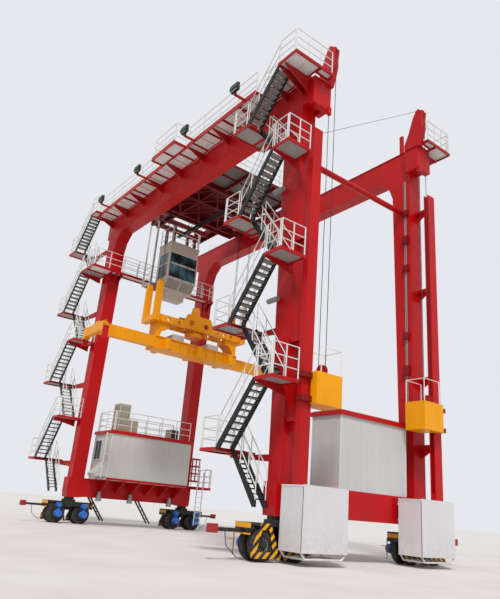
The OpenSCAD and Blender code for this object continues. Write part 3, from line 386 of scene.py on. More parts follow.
@dataclass(frozen=True)
class PanelPaint(Paint):
    """Paint on a wall of upright sheet panels with a groove at each joint.

    Attributes:
        pitch: Width of a panel, in metres.
        engine: Colour of the engine house, which stands in the shade.
        groove: Colour down in the grooves.
    """

    pitch: float = 1.18
    # engine: Colour of the engine house, painted shade, as it stands in the shade.
    engine: str = "#c6c5be"
    groove: str = "#85837f"

    def tint(self, graph: Graph) -> Socket:
        """Gives the panel colour, darker in the joints, with painted shade on the engine house.

        Args:
            graph: The material being made.

        Returns:
            The colour's socket.
        """
        side = graph.facing(0, 0.5)
        end = graph.add("Math", (1.0, side), operation="SUBTRACT")
        along_y = graph.add("Math", (graph.y, side), operation="MULTIPLY")
        along = graph.add("Math", (graph.x, end, along_y), operation="MULTIPLY_ADD")
        joint = graph.add("Math", (graph.cycle(along, self.pitch), 0.008), operation="LESS_THAN")
        dim = graph.add("Math", (joint, 0.3), operation="MULTIPLY")
        # Painted shade: the engine house, on the side at x below nought, takes the engine colour.
        far = graph.add("Math", (graph.x, 0.0), operation="LESS_THAN")
        sheet = graph.add("Mix", {0: far, 6: self.colour, 7: self.engine}, 2, data_type="RGBA")
        return graph.add("Mix", {0: dim, 6: sheet, 7: self.groove}, 2, data_type="RGBA")


@dataclass(frozen=True)
class StripePaint(Paint):
    """Slanting warning stripes of yellow and black.

    Attributes:
        second: Colour of the other stripe.
        pitch: Width of a pair of stripes, in metres.
    """

    second: str = "#17171a"
    pitch: float = 0.3

    def tint(self, graph: Graph) -> Socket:
        """Gives the stripes, leaning towards each middle.

        Args:
            graph: The material being made.

        Returns:
            The colour's socket.
        """
        outward = graph.add("Math", (graph.y,), operation="ABSOLUTE")
        lean = graph.add("Math", (outward, graph.z), operation="ADD")
        black = graph.add("Math", (graph.cycle(lean, self.pitch), 0.5), operation="GREATER_THAN")
        return graph.add("Mix", {0: black, 6: self.colour, 7: self.second}, 2, data_type="RGBA")


@dataclass(frozen=True)
class WeightPaint(Paint):
    """Yellow on the weight itself, dark red sheave cheeks and a white rail over it.

    Attributes:
        top: Height of the weight's top at rest.
        cheeks: Height of the sheave cheeks' top at rest.
        cheeks_y: Distance of the cheeks from the middle along the travel.
        shoes: Distance from the middle at which the guide shoes start.
        rail: Colour of the rail.
        cheek_tone: Colour of the cheeks.
        shoe_tone: Colour of the guide shoes.
    """

    top: float = 6.09
    cheeks: float = 6.5
    cheeks_y: float = 3.0
    shoes: float = 3.53
    rail: str = "#e8e6e2"
    cheek_tone: str = "#a3161b"
    shoe_tone: str = "#7c0c10"

    def tint(self, graph: Graph) -> Socket:
        """Gives the colours by place.

        Args:
            graph: The material being made.

        Returns:
            The colour's socket.
        """
        outward = graph.add("Math", (graph.y,), operation="ABSOLUTE")
        over = graph.add("Math", (graph.z, self.top), operation="GREATER_THAN")
        low = graph.add("Math", (graph.z, self.cheeks), operation="LESS_THAN")
        middle = graph.add("Math", (outward, self.cheeks_y, 0.1), operation="COMPARE")
        red = graph.add("Math", (low, middle), operation="MULTIPLY")
        upper = graph.add("Mix", {0: red, 6: self.rail, 7: self.cheek_tone}, 2, data_type="RGBA")
        shoes = graph.add("Math", (outward, self.shoes), operation="GREATER_THAN")
        body = graph.add("Mix", {0: shoes, 6: self.colour, 7: self.shoe_tone}, 2, data_type="RGBA")
        return graph.add("Mix", {0: over, 6: body, 7: upper}, 2, data_type="RGBA")


@dataclass(frozen=True)
class TwoTone(Paint):
    """Paint that changes colour past a distance from a plane.

    Attributes:
        second: Colour beyond the distance.
        axis: Axis that the distance is measured along, 0 to 2.
        middle: Place of the plane on that axis, in the frame.
        reach: Distance at which the colour changes.
    """

    second: str = "#000000"
    axis: int = 2
    middle: float = 0.0
    reach: float = 1.0

    def tint(self, graph: Graph) -> Socket:
        """Gives the first colour near the plane and the second one beyond.

        Args:
            graph: The material being made.

        Returns:
            The colour's socket.
        """
        along = (graph.x, graph.y, graph.z)[self.axis]
        offset = graph.add("Math", (along, self.middle), operation="SUBTRACT")
        away = graph.add("Math", (offset,), operation="ABSOLUTE")
        past = graph.add("Math", (away, self.reach), operation="GREATER_THAN")
        return graph.add("Mix", {0: past, 6: self.colour, 7: self.second}, 2, data_type="RGBA")


@dataclass(frozen=True)
class Rubber(Coat):
    """Moulded tyre rubber: nearly black and dull, browned by the dust of the yard.

    Attributes:
        dust: Colour of the dust.
        grain: Grain of the rubber, a metre.
    """

    dust: str = "#5d544a"
    grain: float = 220

    def surface(self, graph: Graph) -> dict:
        """Lays dust on the rubber.

        Args:
            graph: The material being made.

        Returns:
            Sockets or values by the shader's input.
        """
        dust = graph.patches(9, 5, (0.4, 0.75), (0, 0.55))
        grain = graph.add("TexNoise", {"Vector": graph.place, "Scale": self.grain, "Detail": 3})
        return {
            "Base Color": graph.add("Mix", {0: dust, 6: self.colour, 7: self.dust}, 2, data_type="RGBA"),
            "Roughness": 0.82,
            "Normal": graph.add("Bump", {"Strength": 0.5, "Distance": 0.001, "Height": grain}),
        }


@dataclass(frozen=True)
class Glass(Coat):
    """Toughened and tinted float glass: blue-green, clouded by what lies behind it.

    Attributes:
        shade: Colour of the dark room behind the pane.
    """

    shade: str = "#1a3037"

    def surface(self, graph: Graph) -> dict:
        """Smears the pane and lays painted shade of the dark room behind it on the pane in patches.

        Args:
            graph: The material being made.

        Returns:
            Sockets or values by the shader's input.
        """
        # Painted shade: patches of the dark room's colour in the pane.
        room_shade_patches = graph.patches(1.3, 3, (0.38, 0.6))
        return {
            "Base Color": graph.add("Mix", {0: room_shade_patches, 6: self.colour, 7: self.shade}, 2, data_type="RGBA"),
            "Roughness": graph.patches(2.5, 4, (0.3, 0.7), (0.02, 0.1)),
            "IOR": 1.52,
            "Transmission Weight": 0.25,
        }


@dataclass(frozen=True)
class WireRope(Coat):
    """Greased wire rope: a dull dark metal with the slant of its twisted strands.

    Attributes:
        lay: Length of one turn of a strand, in metres.
        grease: Colour of the grease between the strands.
    """

    lay: float = 0.03
    grease: str = "#232221"

    def surface(self, graph: Graph) -> dict:
        """Twists the strands.

        Args:
            graph: The material being made.

        Returns:
            Sockets or values by the shader's input.
        """
        across = graph.add("Math", (graph.x, graph.y), operation="ADD")
        slant = graph.add("Math", (across, graph.z), operation="ADD")
        groove = graph.add("Math", (graph.cycle(slant, self.lay), 0.5), operation="PINGPONG")
        return {
            "Base Color": graph.add(
                "Mix", {0: groove, 6: self.grease, 7: self.colour}, 2, data_type="RGBA"
            ),
            "Metallic": 0.6,
            "Roughness": 0.5,
            "Normal": graph.add("Bump", {"Strength": 0.6, "Distance": 0.002, "Height": groove}),
        }


LANDINGS = (3.45, 5.7, 8.0, 10.25, 12.5, 14.75, 16.8, 18.74)
"""Heights of the stair landings, from the lowest up, in metres."""


class Finish(Enum):
    """Every finish of the crane."""

    # Epoxy paint on the portal's plates: deep red with a soft gloss.
    RED = Paint("gloss_red", "#b8040a")
    DARK_RED = Paint("dark_red", "#80060a", streaks=0.35)
    # Galvanised grating in painted frames. On the walks it is painted pale from below: painted sky light,
    # where the sky shows through.
    WALK = DeckPaint(
        "walk_red", "#a8060c", levels=(18.74, 14.75), gap_tone_and_painted_light="#eceeea", bar_tone_and_painted_light="#d2d4d0"
    )
    LANDING = DeckPaint("landing_red", "#b2060c", levels=LANDINGS)
    TREAD = DeckPaint("tread_black", "#14161a")
    # The trolley's end platform grating gets dark gap and bar tones: painted shade.
    TROLLEY = TrolleyPaint(
        "trolley_red", "#66070c", levels=(18.85,), streaks=0.4, gap_tone_and_painted_light="#74716c", bar_tone_and_painted_light="#55534f"
    )
    # White paint on rails, cabinets and panels: chalky, with a hint of grey from the rain.
    WHITE = Paint("rail_white", "#dcdad6", streaks=0.2)
    BOX_WHITE = Paint("box_white", "#d6d4d5", fade=0.03, streaks=0.05)
    HOUSE = PanelPaint("house_grey", "#c4c4c1", fade=0.04, streaks=0.07)
    UNIT = Paint("unit_beige", "#b3ad9a", fade=0.06, streaks=0.2)
    # Signal yellow on the lifting gear, red or brown where a part is marked or rusted.
    YELLOW = Paint("crane_yellow", "#ee9a00", streaks=0.2)
    OCHRE = Paint("bracket_ochre", "#a9762c", streaks=0.3)
    ARMS = TwoTone(
        "arm_yellow", "#ee9a00", streaks=0.2, second="#c0141a", axis=0, middle=-2.575, reach=1.195
    )
    WEIGHT = WeightPaint("weight_yellow", "#f0a000", streaks=0.08)
    STRIPES = StripePaint("warning_stripes", "#e8a50f")
    # Black, grey and blue machine paint: dull shapes under the sills.
    BLACK = Paint("black_paint", "#1e1f22")
    GREY = Paint("machine_grey", "#6c6f70")
    BUMPER = TwoTone(
        "bumper_black", "#1e1f22", second="#a8181c", axis=1, middle=0.0, reach=6.02
    )
    BLUE = Paint("motor_blue", "#1a6cc2", streaks=0.2)
    LAMP = TwoTone(
        "lamp_green", "#22372f", second="#9a9994", axis=2, middle=20.0, reach=3.0
    )
    BEIGE = Paint("cab_beige", "#c4bcb2", fade=0.05, streaks=0.2)
    # Hot-dip zinc: a bare metal gone matt, brighter than the paint beside it.
    ZINC = Paint("zinc", "#9b9a96", metallic=0.6, roughness=0.45)
    RUBBER = Rubber("tyre_rubber", "#1d1c1b")
    GLASS = Glass("tinted_glass", "#4a8a97")
    ROPE = WireRope("wire_rope", "#4c4a49")

    def material(self) -> bpy.types.Material:
        """Makes the material once and keeps it.

        Returns:
            The finish's material.
        """
        made = bpy.data.materials.get(self.value.name)
        return made or self.value.build()


@dataclass
class Assembly:
    """A group of pieces, modelled with Blender's own tools.

    Attributes:
        parts: What lies on the bench for the next piece.
    """

    parts: list = field(default_factory=list, init=False)

    @staticmethod
    def only(obj: bpy.types.Object) -> None:
        """Selects one object alone.

        Args:
            obj: The object.
        """
        bpy.ops.object.select_all(action="DESELECT")
        obj.select_set(True)
        bpy.context.view_layer.objects.active = obj

    def _keep(self, bevel: float) -> bpy.types.Object:
        """Fixes the new object's place in its mesh and rounds its edges.

        Args:
            bevel: Width of the bevel in metres, or nothing.

        Returns:
            The object.
        """
        obj = bpy.context.object
        self.only(obj)
        bpy.ops.object.transform_apply(location=True, rotation=True, scale=True)
        if bevel:
            bpy.ops.object.mode_set(mode="EDIT")
            bpy.ops.mesh.select_all(action="SELECT")
            bpy.ops.mesh.bevel(offset=bevel, segments=2, affect="EDGES", clamp_overlap=True)
            bpy.ops.object.mode_set(mode="OBJECT")
        self.parts.append(obj)
        return obj

    def block(self, low: Point, high: Point, bevel: float = 0.004) -> bpy.types.Object:
        """Makes a block between two opposite corners.

        Args:
            low: One corner, from the crane's middle.
            high: The corner across from it.
            bevel: Width of its rounded edges.

        Returns:
            The object.
        """
        a, b = at(*map(min, low, high)), at(*map(max, low, high))
        bpy.ops.mesh.primitive_cube_add(size=1, location=(a + b) / 2, scale=b - a)
        return self._keep(bevel)

    def rod(self, a: Point, b: Point, radius: float, sides: int = 16) -> bpy.types.Object:
        """Makes a round rod between two points.

        Args:
            a: One end, from the crane's middle.
            b: Other end, from the crane's middle.
            radius: Its radius.
            sides: Faces round it.

        Returns:
            The object.
        """
        start, end = at(*a), at(*b)
        axis = end - start
        bpy.ops.mesh.primitive_cylinder_add(
            vertices=sides, radius=radius, depth=axis.length, location=(start + end) / 2,
            rotation=axis.to_track_quat("Z", "Y").to_euler(),
        )
        obj = self._keep(0)
        bpy.ops.object.shade_smooth_by_angle(angle=math.radians(40))
        return obj

    def cone(self, centre: Point, low: float, high: float, depth: float) -> bpy.types.Object:
        """Makes an upright round shade that narrows to its top.

        Args:
            centre: Its middle, from the crane's middle.
            low: Radius at the foot.
            high: Radius at the top.
            depth: Its height.

        Returns:
            The object.
        """
        bpy.ops.mesh.primitive_cone_add(
            vertices=28, radius1=low, radius2=high, depth=depth, location=at(*centre)
        )
        obj = self._keep(0)
        bpy.ops.object.shade_smooth_by_angle(angle=math.radians(40))
        return obj

    def hoop(self, centre: Point, radius: float, tube: float, axis: str) -> bpy.types.Object:
        """Makes a ring of round bar.

        Args:
            centre: Its middle, from the crane's middle.
            radius: Radius of the ring.
            tube: Radius of the bar.
            axis: The axis it turns about, X, Y or Z.

        Returns:
            The object.
        """
        turn = {"X": (0, math.pi / 2, 0), "Y": (math.pi / 2, 0, 0), "Z": (0, 0, 0)}[axis]
        bpy.ops.mesh.primitive_torus_add(
            location=at(*centre), rotation=turn, major_radius=radius, minor_radius=tube,
            major_segments=40, minor_segments=8,
        )
        obj = self._keep(0)
        bpy.ops.object.shade_smooth()
        return obj

    def repeat(self, obj: bpy.types.Object, count: int, step: Point) -> bpy.types.Object:
        """Repeats an object in a row.

        Args:
            obj: The object.
            count: How many there are in all.
            step: Offset from one to the next.

        Returns:
            The object.
        """
        self.only(obj)
        row = obj.modifiers.new("row", "ARRAY")
        row.use_relative_offset = False
        row.use_constant_offset = True
        row.constant_offset_displace = step
        row.count = count
        bpy.ops.object.modifier_apply(modifier=row.name)
        return obj

    def swing(self, obj: bpy.types.Object, count: int, centre: Point, axis: str) -> None:
        """Copies an object round an axis.

        Args:
            obj: The object.
            count: How many there are in all.
            centre: A point of the axis, from the crane's middle.
            axis: X, Y or Z.
        """
        middle = at(*centre)
        for i in range(1, count):
            self.only(obj)
            bpy.ops.object.duplicate()
            copy = bpy.context.object
            turn = Matrix.Rotation(2 * math.pi * i / count, 4, axis)
            copy.matrix_world = Matrix.Translation(middle) @ turn @ Matrix.Translation(-middle)
            bpy.ops.object.transform_apply(location=True, rotation=True, scale=True)
            self.parts.append(copy)

    def mirror(self, obj: bpy.types.Object, x: bool = False, y: bool = True) -> bpy.types.Object:
        """Adds an object's mirror about the crane's middle planes.

        Args:
            obj: The object.
            x: Whether it is mirrored across the stack.
            y: Whether it is mirrored along the travel.

        Returns:
            The object.
        """
        self.only(obj)
        bpy.ops.object.empty_add(location=(SET_X, 0, 0))
        centre = bpy.context.object
        self.only(obj)
        twin = obj.modifiers.new("twin", "MIRROR")
        twin.mirror_object = centre
        twin.use_axis = (x, y, False)
        twin.use_mirror_merge = False
        bpy.ops.object.modifier_apply(modifier=twin.name)
        bpy.data.objects.remove(centre)
        return obj

    def joined(self, name: str, finish: Finish) -> bpy.types.Object:
        """Joins what is on the bench into one mesh.

        Args:
            name: The mesh's name.
            finish: Its finish.

        Returns:
            The object.
        """
        bpy.ops.object.select_all(action="DESELECT")
        for part in self.parts:
            part.select_set(True)
        first = self.parts[0]
        bpy.context.view_layer.objects.active = first
        if len(self.parts) > 1:
            bpy.ops.object.join()
        first.name = name
        first.data.name = name
        first.data.materials.clear()
        first.data.materials.append(finish.material())
        for face in first.data.polygons:
            face.material_index = 0
        LOG.info("%s: %d faces", name, len(first.data.polygons))
        self.parts = []
        return first

    def piece(self, name: str, body: str, finish: Finish) -> bpy.types.Object:
        """Makes one piece of what is on the bench.

        Args:
            name: The piece's name.
            body: The body that it rides on.
            finish: Its finish.

        Returns:
            The piece.
        """
        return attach(self.joined(name, finish), body)


def dress(finish: Finish, nodes: Iterable[str]) -> None:
    """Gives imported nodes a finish.

    Args:
        finish: The finish.
        nodes: The nodes' names.
    """
    for name in nodes:
        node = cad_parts[name]
        node.data.materials.clear()
        node.data.materials.append(finish.material())


@dataclass
class Portal(Assembly):
    """Girders, legs, sills and horns, with what is fastened on them.

    Attributes:
        leg_face: Outer face of a leg.
        leg_sides: Inner and outer side of a leg along the travel.
        girder_sides: Inner and outer side of a girder along the travel.
        girder: Heights of a girder's underside and top.
        seam: Thickness of a weld seam.
    """

    leg_face: float = 9.24
    leg_sides: Span = (3.125, 3.875)
    girder_sides: Span = (3.15, 3.85)
    girder: Span = (17.4, 18.57)
    seam: float = 0.006

    @staticmethod
    def inner_face(z: float) -> float:
        """Gives the distance of a leg's inner face, which leans, from the crane's middle.

        Args:
            z: Height on the leg.

        Returns:
            The distance in metres.
        """
        foot, lean, base, length = 8.58, 0.35, 2.43, 13.845
        return foot - lean * (z - base) / length

    def build(self) -> None:
        """Adds seams, conduits, boxes, a wire, a pipe and the sill's lamps."""
        self.seams()
        self.conduits()
        self.boxes()
        self.sill_lamps()

    def seams(self) -> None:
        """Adds the site joints of the girders and the weld lines of the legs."""
        s = self.seam
        low, high = self.girder
        for x in (-6.2, 0.0, 6.2):
            for y in (self.girder_sides[0] - s, self.girder_sides[1]):
                self.mirror(self.block((x - 0.012, y, low), (x + 0.012, y + s, high), 0))
        for z in (6.4, 10.4, 14.2):
            for y in (self.leg_sides[0] - s, self.leg_sides[1]):
                inner = self.inner_face(z) + 0.03
                strip = self.block((inner, y, z - 0.01), (self.leg_face, y + s, z + 0.01), 0)
                self.mirror(strip, x=True)
        self.piece("weld_seams", "portal", Finish.RED)

    def conduits(self) -> None:
        """Adds cable pipes with clamps up the near legs."""
        for x in (8.95, 9.02):
            self.mirror(self.rod((x, 3.1, 5.35), (x, 3.1, 16.9), 0.022, 12))
        clamp = self.block((8.91, 3.08, 5.6), (9.06, self.leg_sides[0], 5.64), 0.002)
        self.mirror(self.repeat(clamp, 12, (0, 0, 1.0)))
        self.piece("leg_conduits", "portal", Finish.ZINC)

    def boxes(self) -> None:
        """Adds the cable boxes on the near rear leg, the horn's stay wire and a leg pipe."""
        for z, size in ((7.4, 0.42), (9.0, 0.3), (12.2, 0.3), (13.6, 0.36), (15.0, 0.3)):
            self.block((8.86, 2.98, z), (9.14, self.leg_sides[0], z + size), 0.01)
        self.piece("leg_boxes", "portal", Finish.DARK_RED)
        self.rod((9.99, 2.98, 20.4), (9.93, -3.42, 15.85), 0.009, 8)
        self.piece("stay_wire", "portal", Finish.ROPE)
        self.rod((8.41, -3.84, 8.1), (8.29, -3.84, 13.3), 0.018, 12)
        for z in (8.3, 10.0, 11.6, 13.1):
            x = self.inner_face(z)
            self.block((x - 0.05, -3.86, z), (x + 0.01, -3.82, z + 0.04), 0.004)
        self.piece("leg_pipe", "portal", Finish.WHITE)

    def sill_lamps(self) -> None:
        """Adds the three lamps on the inner side of the far sill."""
        for y in (-2.2, -0.25, 2.4):
            self.block((-8.58, y - 0.03, 1.76), (-8.3, y + 0.03, 1.8), 0.006)
            self.cone((-8.33, y, 1.52), 0.17, 0.09, 0.46)
            self.rod((-8.33, y, 1.27), (-8.33, y, 1.3), 0.15, 24)
        self.piece("sill_lamps", "portal", Finish.ZINC)


@dataclass
class Walks(Assembly):
    """Decks on the girders and beside the far legs.

    Attributes:
        level: Height of the girder walks.
        edge: Outer edge of the girder walks.
        board: Height of the toe boards.
        thickness: Thickness of the toe boards.
        bay: How far the bay of the front walk stands out.
    """

    level: float = 18.74
    edge: float = 4.88
    board: float = 0.1
    thickness: float = 0.012
    bay: float = 0.7

    def build(self) -> None:
        """Adds toe boards and the bars between the gratings."""
        top = self.level + self.board
        front = self.thickness - self.edge
        for x0, x1, y in (
            (-9.6, 9.18, self.edge),
            (-8.65, -0.92, front),
            (-0.88, 1.48, front - self.bay),
            (1.52, 7.2, front),
        ):
            self.block((x0, y - self.thickness, self.level), (x1, y, top), 0.002)
        self.piece("toe_boards", "portal", Finish.RED)
        low = self.level - 0.066
        bar = self.block((-9.0, 3.94, low), (-8.96, 4.84, low + 0.006), 0)
        self.repeat(bar, 28, (0.65, 0, 0))
        self.mirror(bar)
        self.piece("grating_bars", "portal", Finish.RED)


@dataclass
class Stairs(Assembly):
    """The two stairs beside the front legs.

    Attributes:
        low_x: Where each stair starts across the stack.
        run: Run of a flight.
        rises: Levels from the lowest landing up.
        lanes: Inner side along the travel of the flights that go out and of those that come back.
        treads: Treads of a flight.
        nose: Distance of a tread's nosing from the tread's middle.
    """

    low_x: tuple = (7.34, -11.44)
    run: float = 1.78
    rises: tuple = LANDINGS
    lanes: Span = (4.56, 3.89)
    treads: int = 10
    nose: float = 0.13

    def build(self) -> None:
        """Adds a round nosing on each tread and a bearer under every other landing."""
        for x0 in self.low_x:
            for z in self.rises[0:7:2]:
                self.block((x0 - 1.03, -4.15, z - 0.118), (x0 - 0.1, -4.06, z - 0.061), 0.004)
        self.piece("landing_bearers", "portal", Finish.RED)
        for x0 in self.low_x:
            for i, (low, high) in enumerate(zip(self.rises, self.rises[1:])):
                lane = self.lanes[i % 2]
                step, rise = self.run / (self.treads + 1), (high - low) / (self.treads + 1)
                x, z = x0 + step - self.nose, low + rise
                if i % 2:
                    x, step = x0 + self.run - step + self.nose, -step
                nosing = self.rod((x, -lane - 0.605, z), (x, -lane - 0.035, z), 0.02, 8)
                self.repeat(nosing, self.treads, (step, 0, rise))
        self.piece("tread_nosings", "portal", Finish.ZINC)


@dataclass
class Houses(Assembly):
    """Electrics house on the near sill and engine house on the far one.

    Attributes:
        elec: Lowest and highest corner of the electrics house.
        engine: Lowest and highest corner of the engine house.
        roof: Height of the foot of the units on the engine house's roof.
    """

    elec: tuple = ((7.72, -1.095, 2.43), (9.22, 2.655, 5.08))
    engine: tuple = ((-9.75, -2.355, 2.43), (-7.45, 2.995, 5.0))
    roof: float = 5.2

    def build(self) -> None:
        """Adds trims, the end window and the slats."""
        for low, high in (self.elec, self.engine):
            for x in (low[0], high[0]):
                for y in (low[1], high[1]):
                    self.corner(x, y, x == high[0], y == high[1])
            for y0, y1 in ((low[1] - 0.014, low[1]), (high[1], high[1] + 0.014)):
                self.block((low[0], y0, low[2] + 0.01), (high[0], y1, low[2] + 0.09), 0.002)
        self.piece("house_trims", "portal", Finish.BOX_WHITE)
        (_, y0, _), (x, y1, _) = self.engine
        self.block((x, y0, 2.44), (x + 0.02, y1, 2.56), 0.003)
        self.piece("house_base", "portal", Finish.RED)
        seam = self.block((x, y0 + 0.55, 2.57), (x + 0.006, y0 + 0.58, 4.98), 0)
        self.repeat(seam, 5, (0, 1.09, 0))
        self.piece("panel_seams", "portal", Finish.HOUSE)
        self.end_window()
        self.slats()

    def corner(self, x: float, y: float, far_x: bool, far_y: bool) -> None:
        """Adds the folded post at one corner of a house.

        Args:
            x: The corner's place across the stack.
            y: The corner's place along the travel.
            far_x: Whether it is the corner at the larger x.
            far_y: Whether it is the corner at the larger y.
        """
        wide, out = 0.04, 0.012
        x0, x1 = (x - wide, x + out) if far_x else (x - out, x + wide)
        y0, y1 = (y - wide, y + out) if far_y else (y - out, y + wide)
        top = 5.07 if x > 0 else 4.99
        self.block((x0, y0, 2.46), (x1, y1, top), 0.003)

    def end_window(self) -> None:
        """Adds the tall dark window and the pipe at the engine house's front end."""
        y = self.engine[0][1]
        self.block((-9.5, y - 0.03, 3.5), (-8.6, y, 4.7), 0.006)
        self.piece("end_window_frame", "portal", Finish.BOX_WHITE)
        for x in (-9.44, -9.03):
            self.block((x, y - 0.036, 3.57), (x + 0.37, y - 0.028, 4.63), 0.003)
        self.piece("end_window_panes", "portal", Finish.BLACK)
        self.rod((-7.48, y - 0.3, 2.5), (-7.48, y - 0.3, 5.0), 0.035, 16)
        for z in (2.6, 3.8, 4.9):
            self.block((-7.5, y - 0.3, z), (-7.46, y, z + 0.04), 0.004)
        self.piece("down_pipe", "portal", Finish.WHITE)

    def slats(self) -> None:
        """Adds slats on the roof units and the dark grille of the third one."""
        roof = self.roof
        for low, high, count, pitch in (
            ((-7.7, -1.95), (-7.67, -1.36), 16, 0.09),
            ((-8.45, -2.03), (-7.75, -2.0), 16, 0.09),
            ((-7.7, -1.22), (-7.68, -0.75), 6, 0.1),
        ):
            slat = self.block((*low, roof + 0.12), (*high, roof + 0.14), 0.002)
            self.repeat(slat, count, (0, 0, pitch))
        self.piece("unit_slats", "portal", Finish.UNIT)
        self.block((-7.7, 1.64, roof + 0.06), (-7.69, 2.11, roof + 0.53), 0.004)
        bar = self.block((-7.69, 1.66, roof + 0.1), (-7.68, 2.09, roof + 0.115), 0)
        self.repeat(bar, 9, (0, 0, 0.05))
        self.piece("unit_grille", "portal", Finish.BLACK)


@dataclass
class Cabinets(Assembly):
    """White cabinets hung on the near sill.

    Attributes:
        low: Lowest corner of the rear cabinet.
        high: Highest corner of the rear cabinet.
    """

    low: tuple = (9.4, 1.94, 0.39)
    high: tuple = (10.46, 3.94, 2.36)

    def build(self) -> None:
        """Adds rims, hinges and the dark joints between the panels."""
        (x0, y0, z0), (x1, y1, z1) = self.low, self.high
        for y in (y0, y1):
            side = math.copysign(0.004, y - (y0 + y1) / 2)
            joint = self.block((x1 - 0.035, y - side, z0 + 0.02), (x1 - 0.012, y + side, z1 - 0.06), 0)
            self.mirror(joint)
        self.piece("cabinet_joints", "portal", Finish.DARK_RED)
        for y, out in ((y0, -0.012), (y1, 0.012)):
            self.mirror(self.block((x0, y, z1 - 0.05), (x1, y + out, z1), 0.003))
        rim = self.block((x1 - 0.03, y0 - 0.012, z1), (x1 - 0.001, y1 + 0.012, z1 + 0.016), 0.002)
        self.mirror(rim)
        for z in (0.52, 1.35, 2.1):
            x, y = x1 - 0.05, y1 + 0.008
            self.mirror(self.rod((x, y, z), (x, y, z + 0.12), 0.01, 10))
        self.piece("cabinet_rims", "portal", Finish.BOX_WHITE)


@dataclass
class RunningGear(Assembly):
    """Bogies, wheels and drive motors.

    Attributes:
        side_x: Distance of the bogies from the middle across the stack.
        along_y: Distance of the bogies from the middle along the travel.
        axle: Half the distance between the axles.
        radius: Tyre radius.
        outer: Distance of a tyre's outer side from its bogie's middle.
    """

    side_x: float = 8.9
    along_y: float = 3.7
    axle: float = 0.72
    radius: float = 0.5
    outer: float = 0.37

    def build(self) -> None:
        """Adds rims, hub bolts, motor fins and the feelers of the near bogies."""
        for side, side_name in ((1, "near"), (-1, "far")):
            for end, end_name in ((-1, "front"), (1, "rear")):
                for place, number in ((-1, "one"), (1, "two")):
                    y = end * self.along_y + place * self.axle
                    body = f"{side_name}_{end_name}_pair_{number}"
                    self.wheel(side, y, body)
        self.motors()
        self.feelers()

    def feelers(self) -> None:
        """Adds the bars with a plate that hang from the near bogies' front ends."""
        for y in (-self.along_y - 1.325, self.along_y - 1.325):
            self.block((8.5, y - 0.03, 0.14), (8.53, y, 0.9), 0.004)
            self.block((8.38, y - 0.24, 0.6), (8.62, y + 0.06 if y > 0 else y, 0.62), 0.004)
        self.piece("end_feelers", "portal", Finish.OCHRE)

    def wheel(self, side: int, y: float, body: str) -> None:
        """Adds the rims and the bolts of one wheel pair.

        Args:
            side: Side across the stack, 1 or -1.
            y: Place along the travel.
            body: The wheel pair's body.
        """
        x = side * self.side_x
        for s in (-1, 1):
            face = x + s * (self.outer - 0.07)
            self.hoop((face, y, self.radius), 0.205, 0.016, "X")
            z = self.radius + 0.155
            bolt = self.rod((face - s * 0.03, y, z), (face + s * 0.022, y, z), 0.016, 6)
            self.swing(bolt, 10, (face, y, self.radius), "X")
        self.piece(body + "_rims", body, Finish.ZINC)

    def motors(self) -> None:
        """Adds cooling fins and end covers on the motors."""
        for y in (self.along_y - self.axle, self.along_y + self.axle):
            x = self.side_x - 0.5
            fin = self.hoop((x, y, self.radius), 0.168, 0.007, "X")
            self.repeat(fin, 9, (-0.034, 0, 0))
            self.mirror(fin, x=True)
            upper = self.hoop((x, y, self.radius + 0.43), 0.122, 0.006, "X")
            self.repeat(upper, 7, (-0.034, 0, 0))
            self.mirror(upper, x=True)
            low, high = self.radius + 0.15, self.radius + 0.26
            box = self.block((x - 0.2, y - 0.07, low), (x - 0.04, y + 0.07, high), 0.01)
            self.mirror(box, x=True)
        self.piece("motor_fins", "portal", Finish.BLUE)


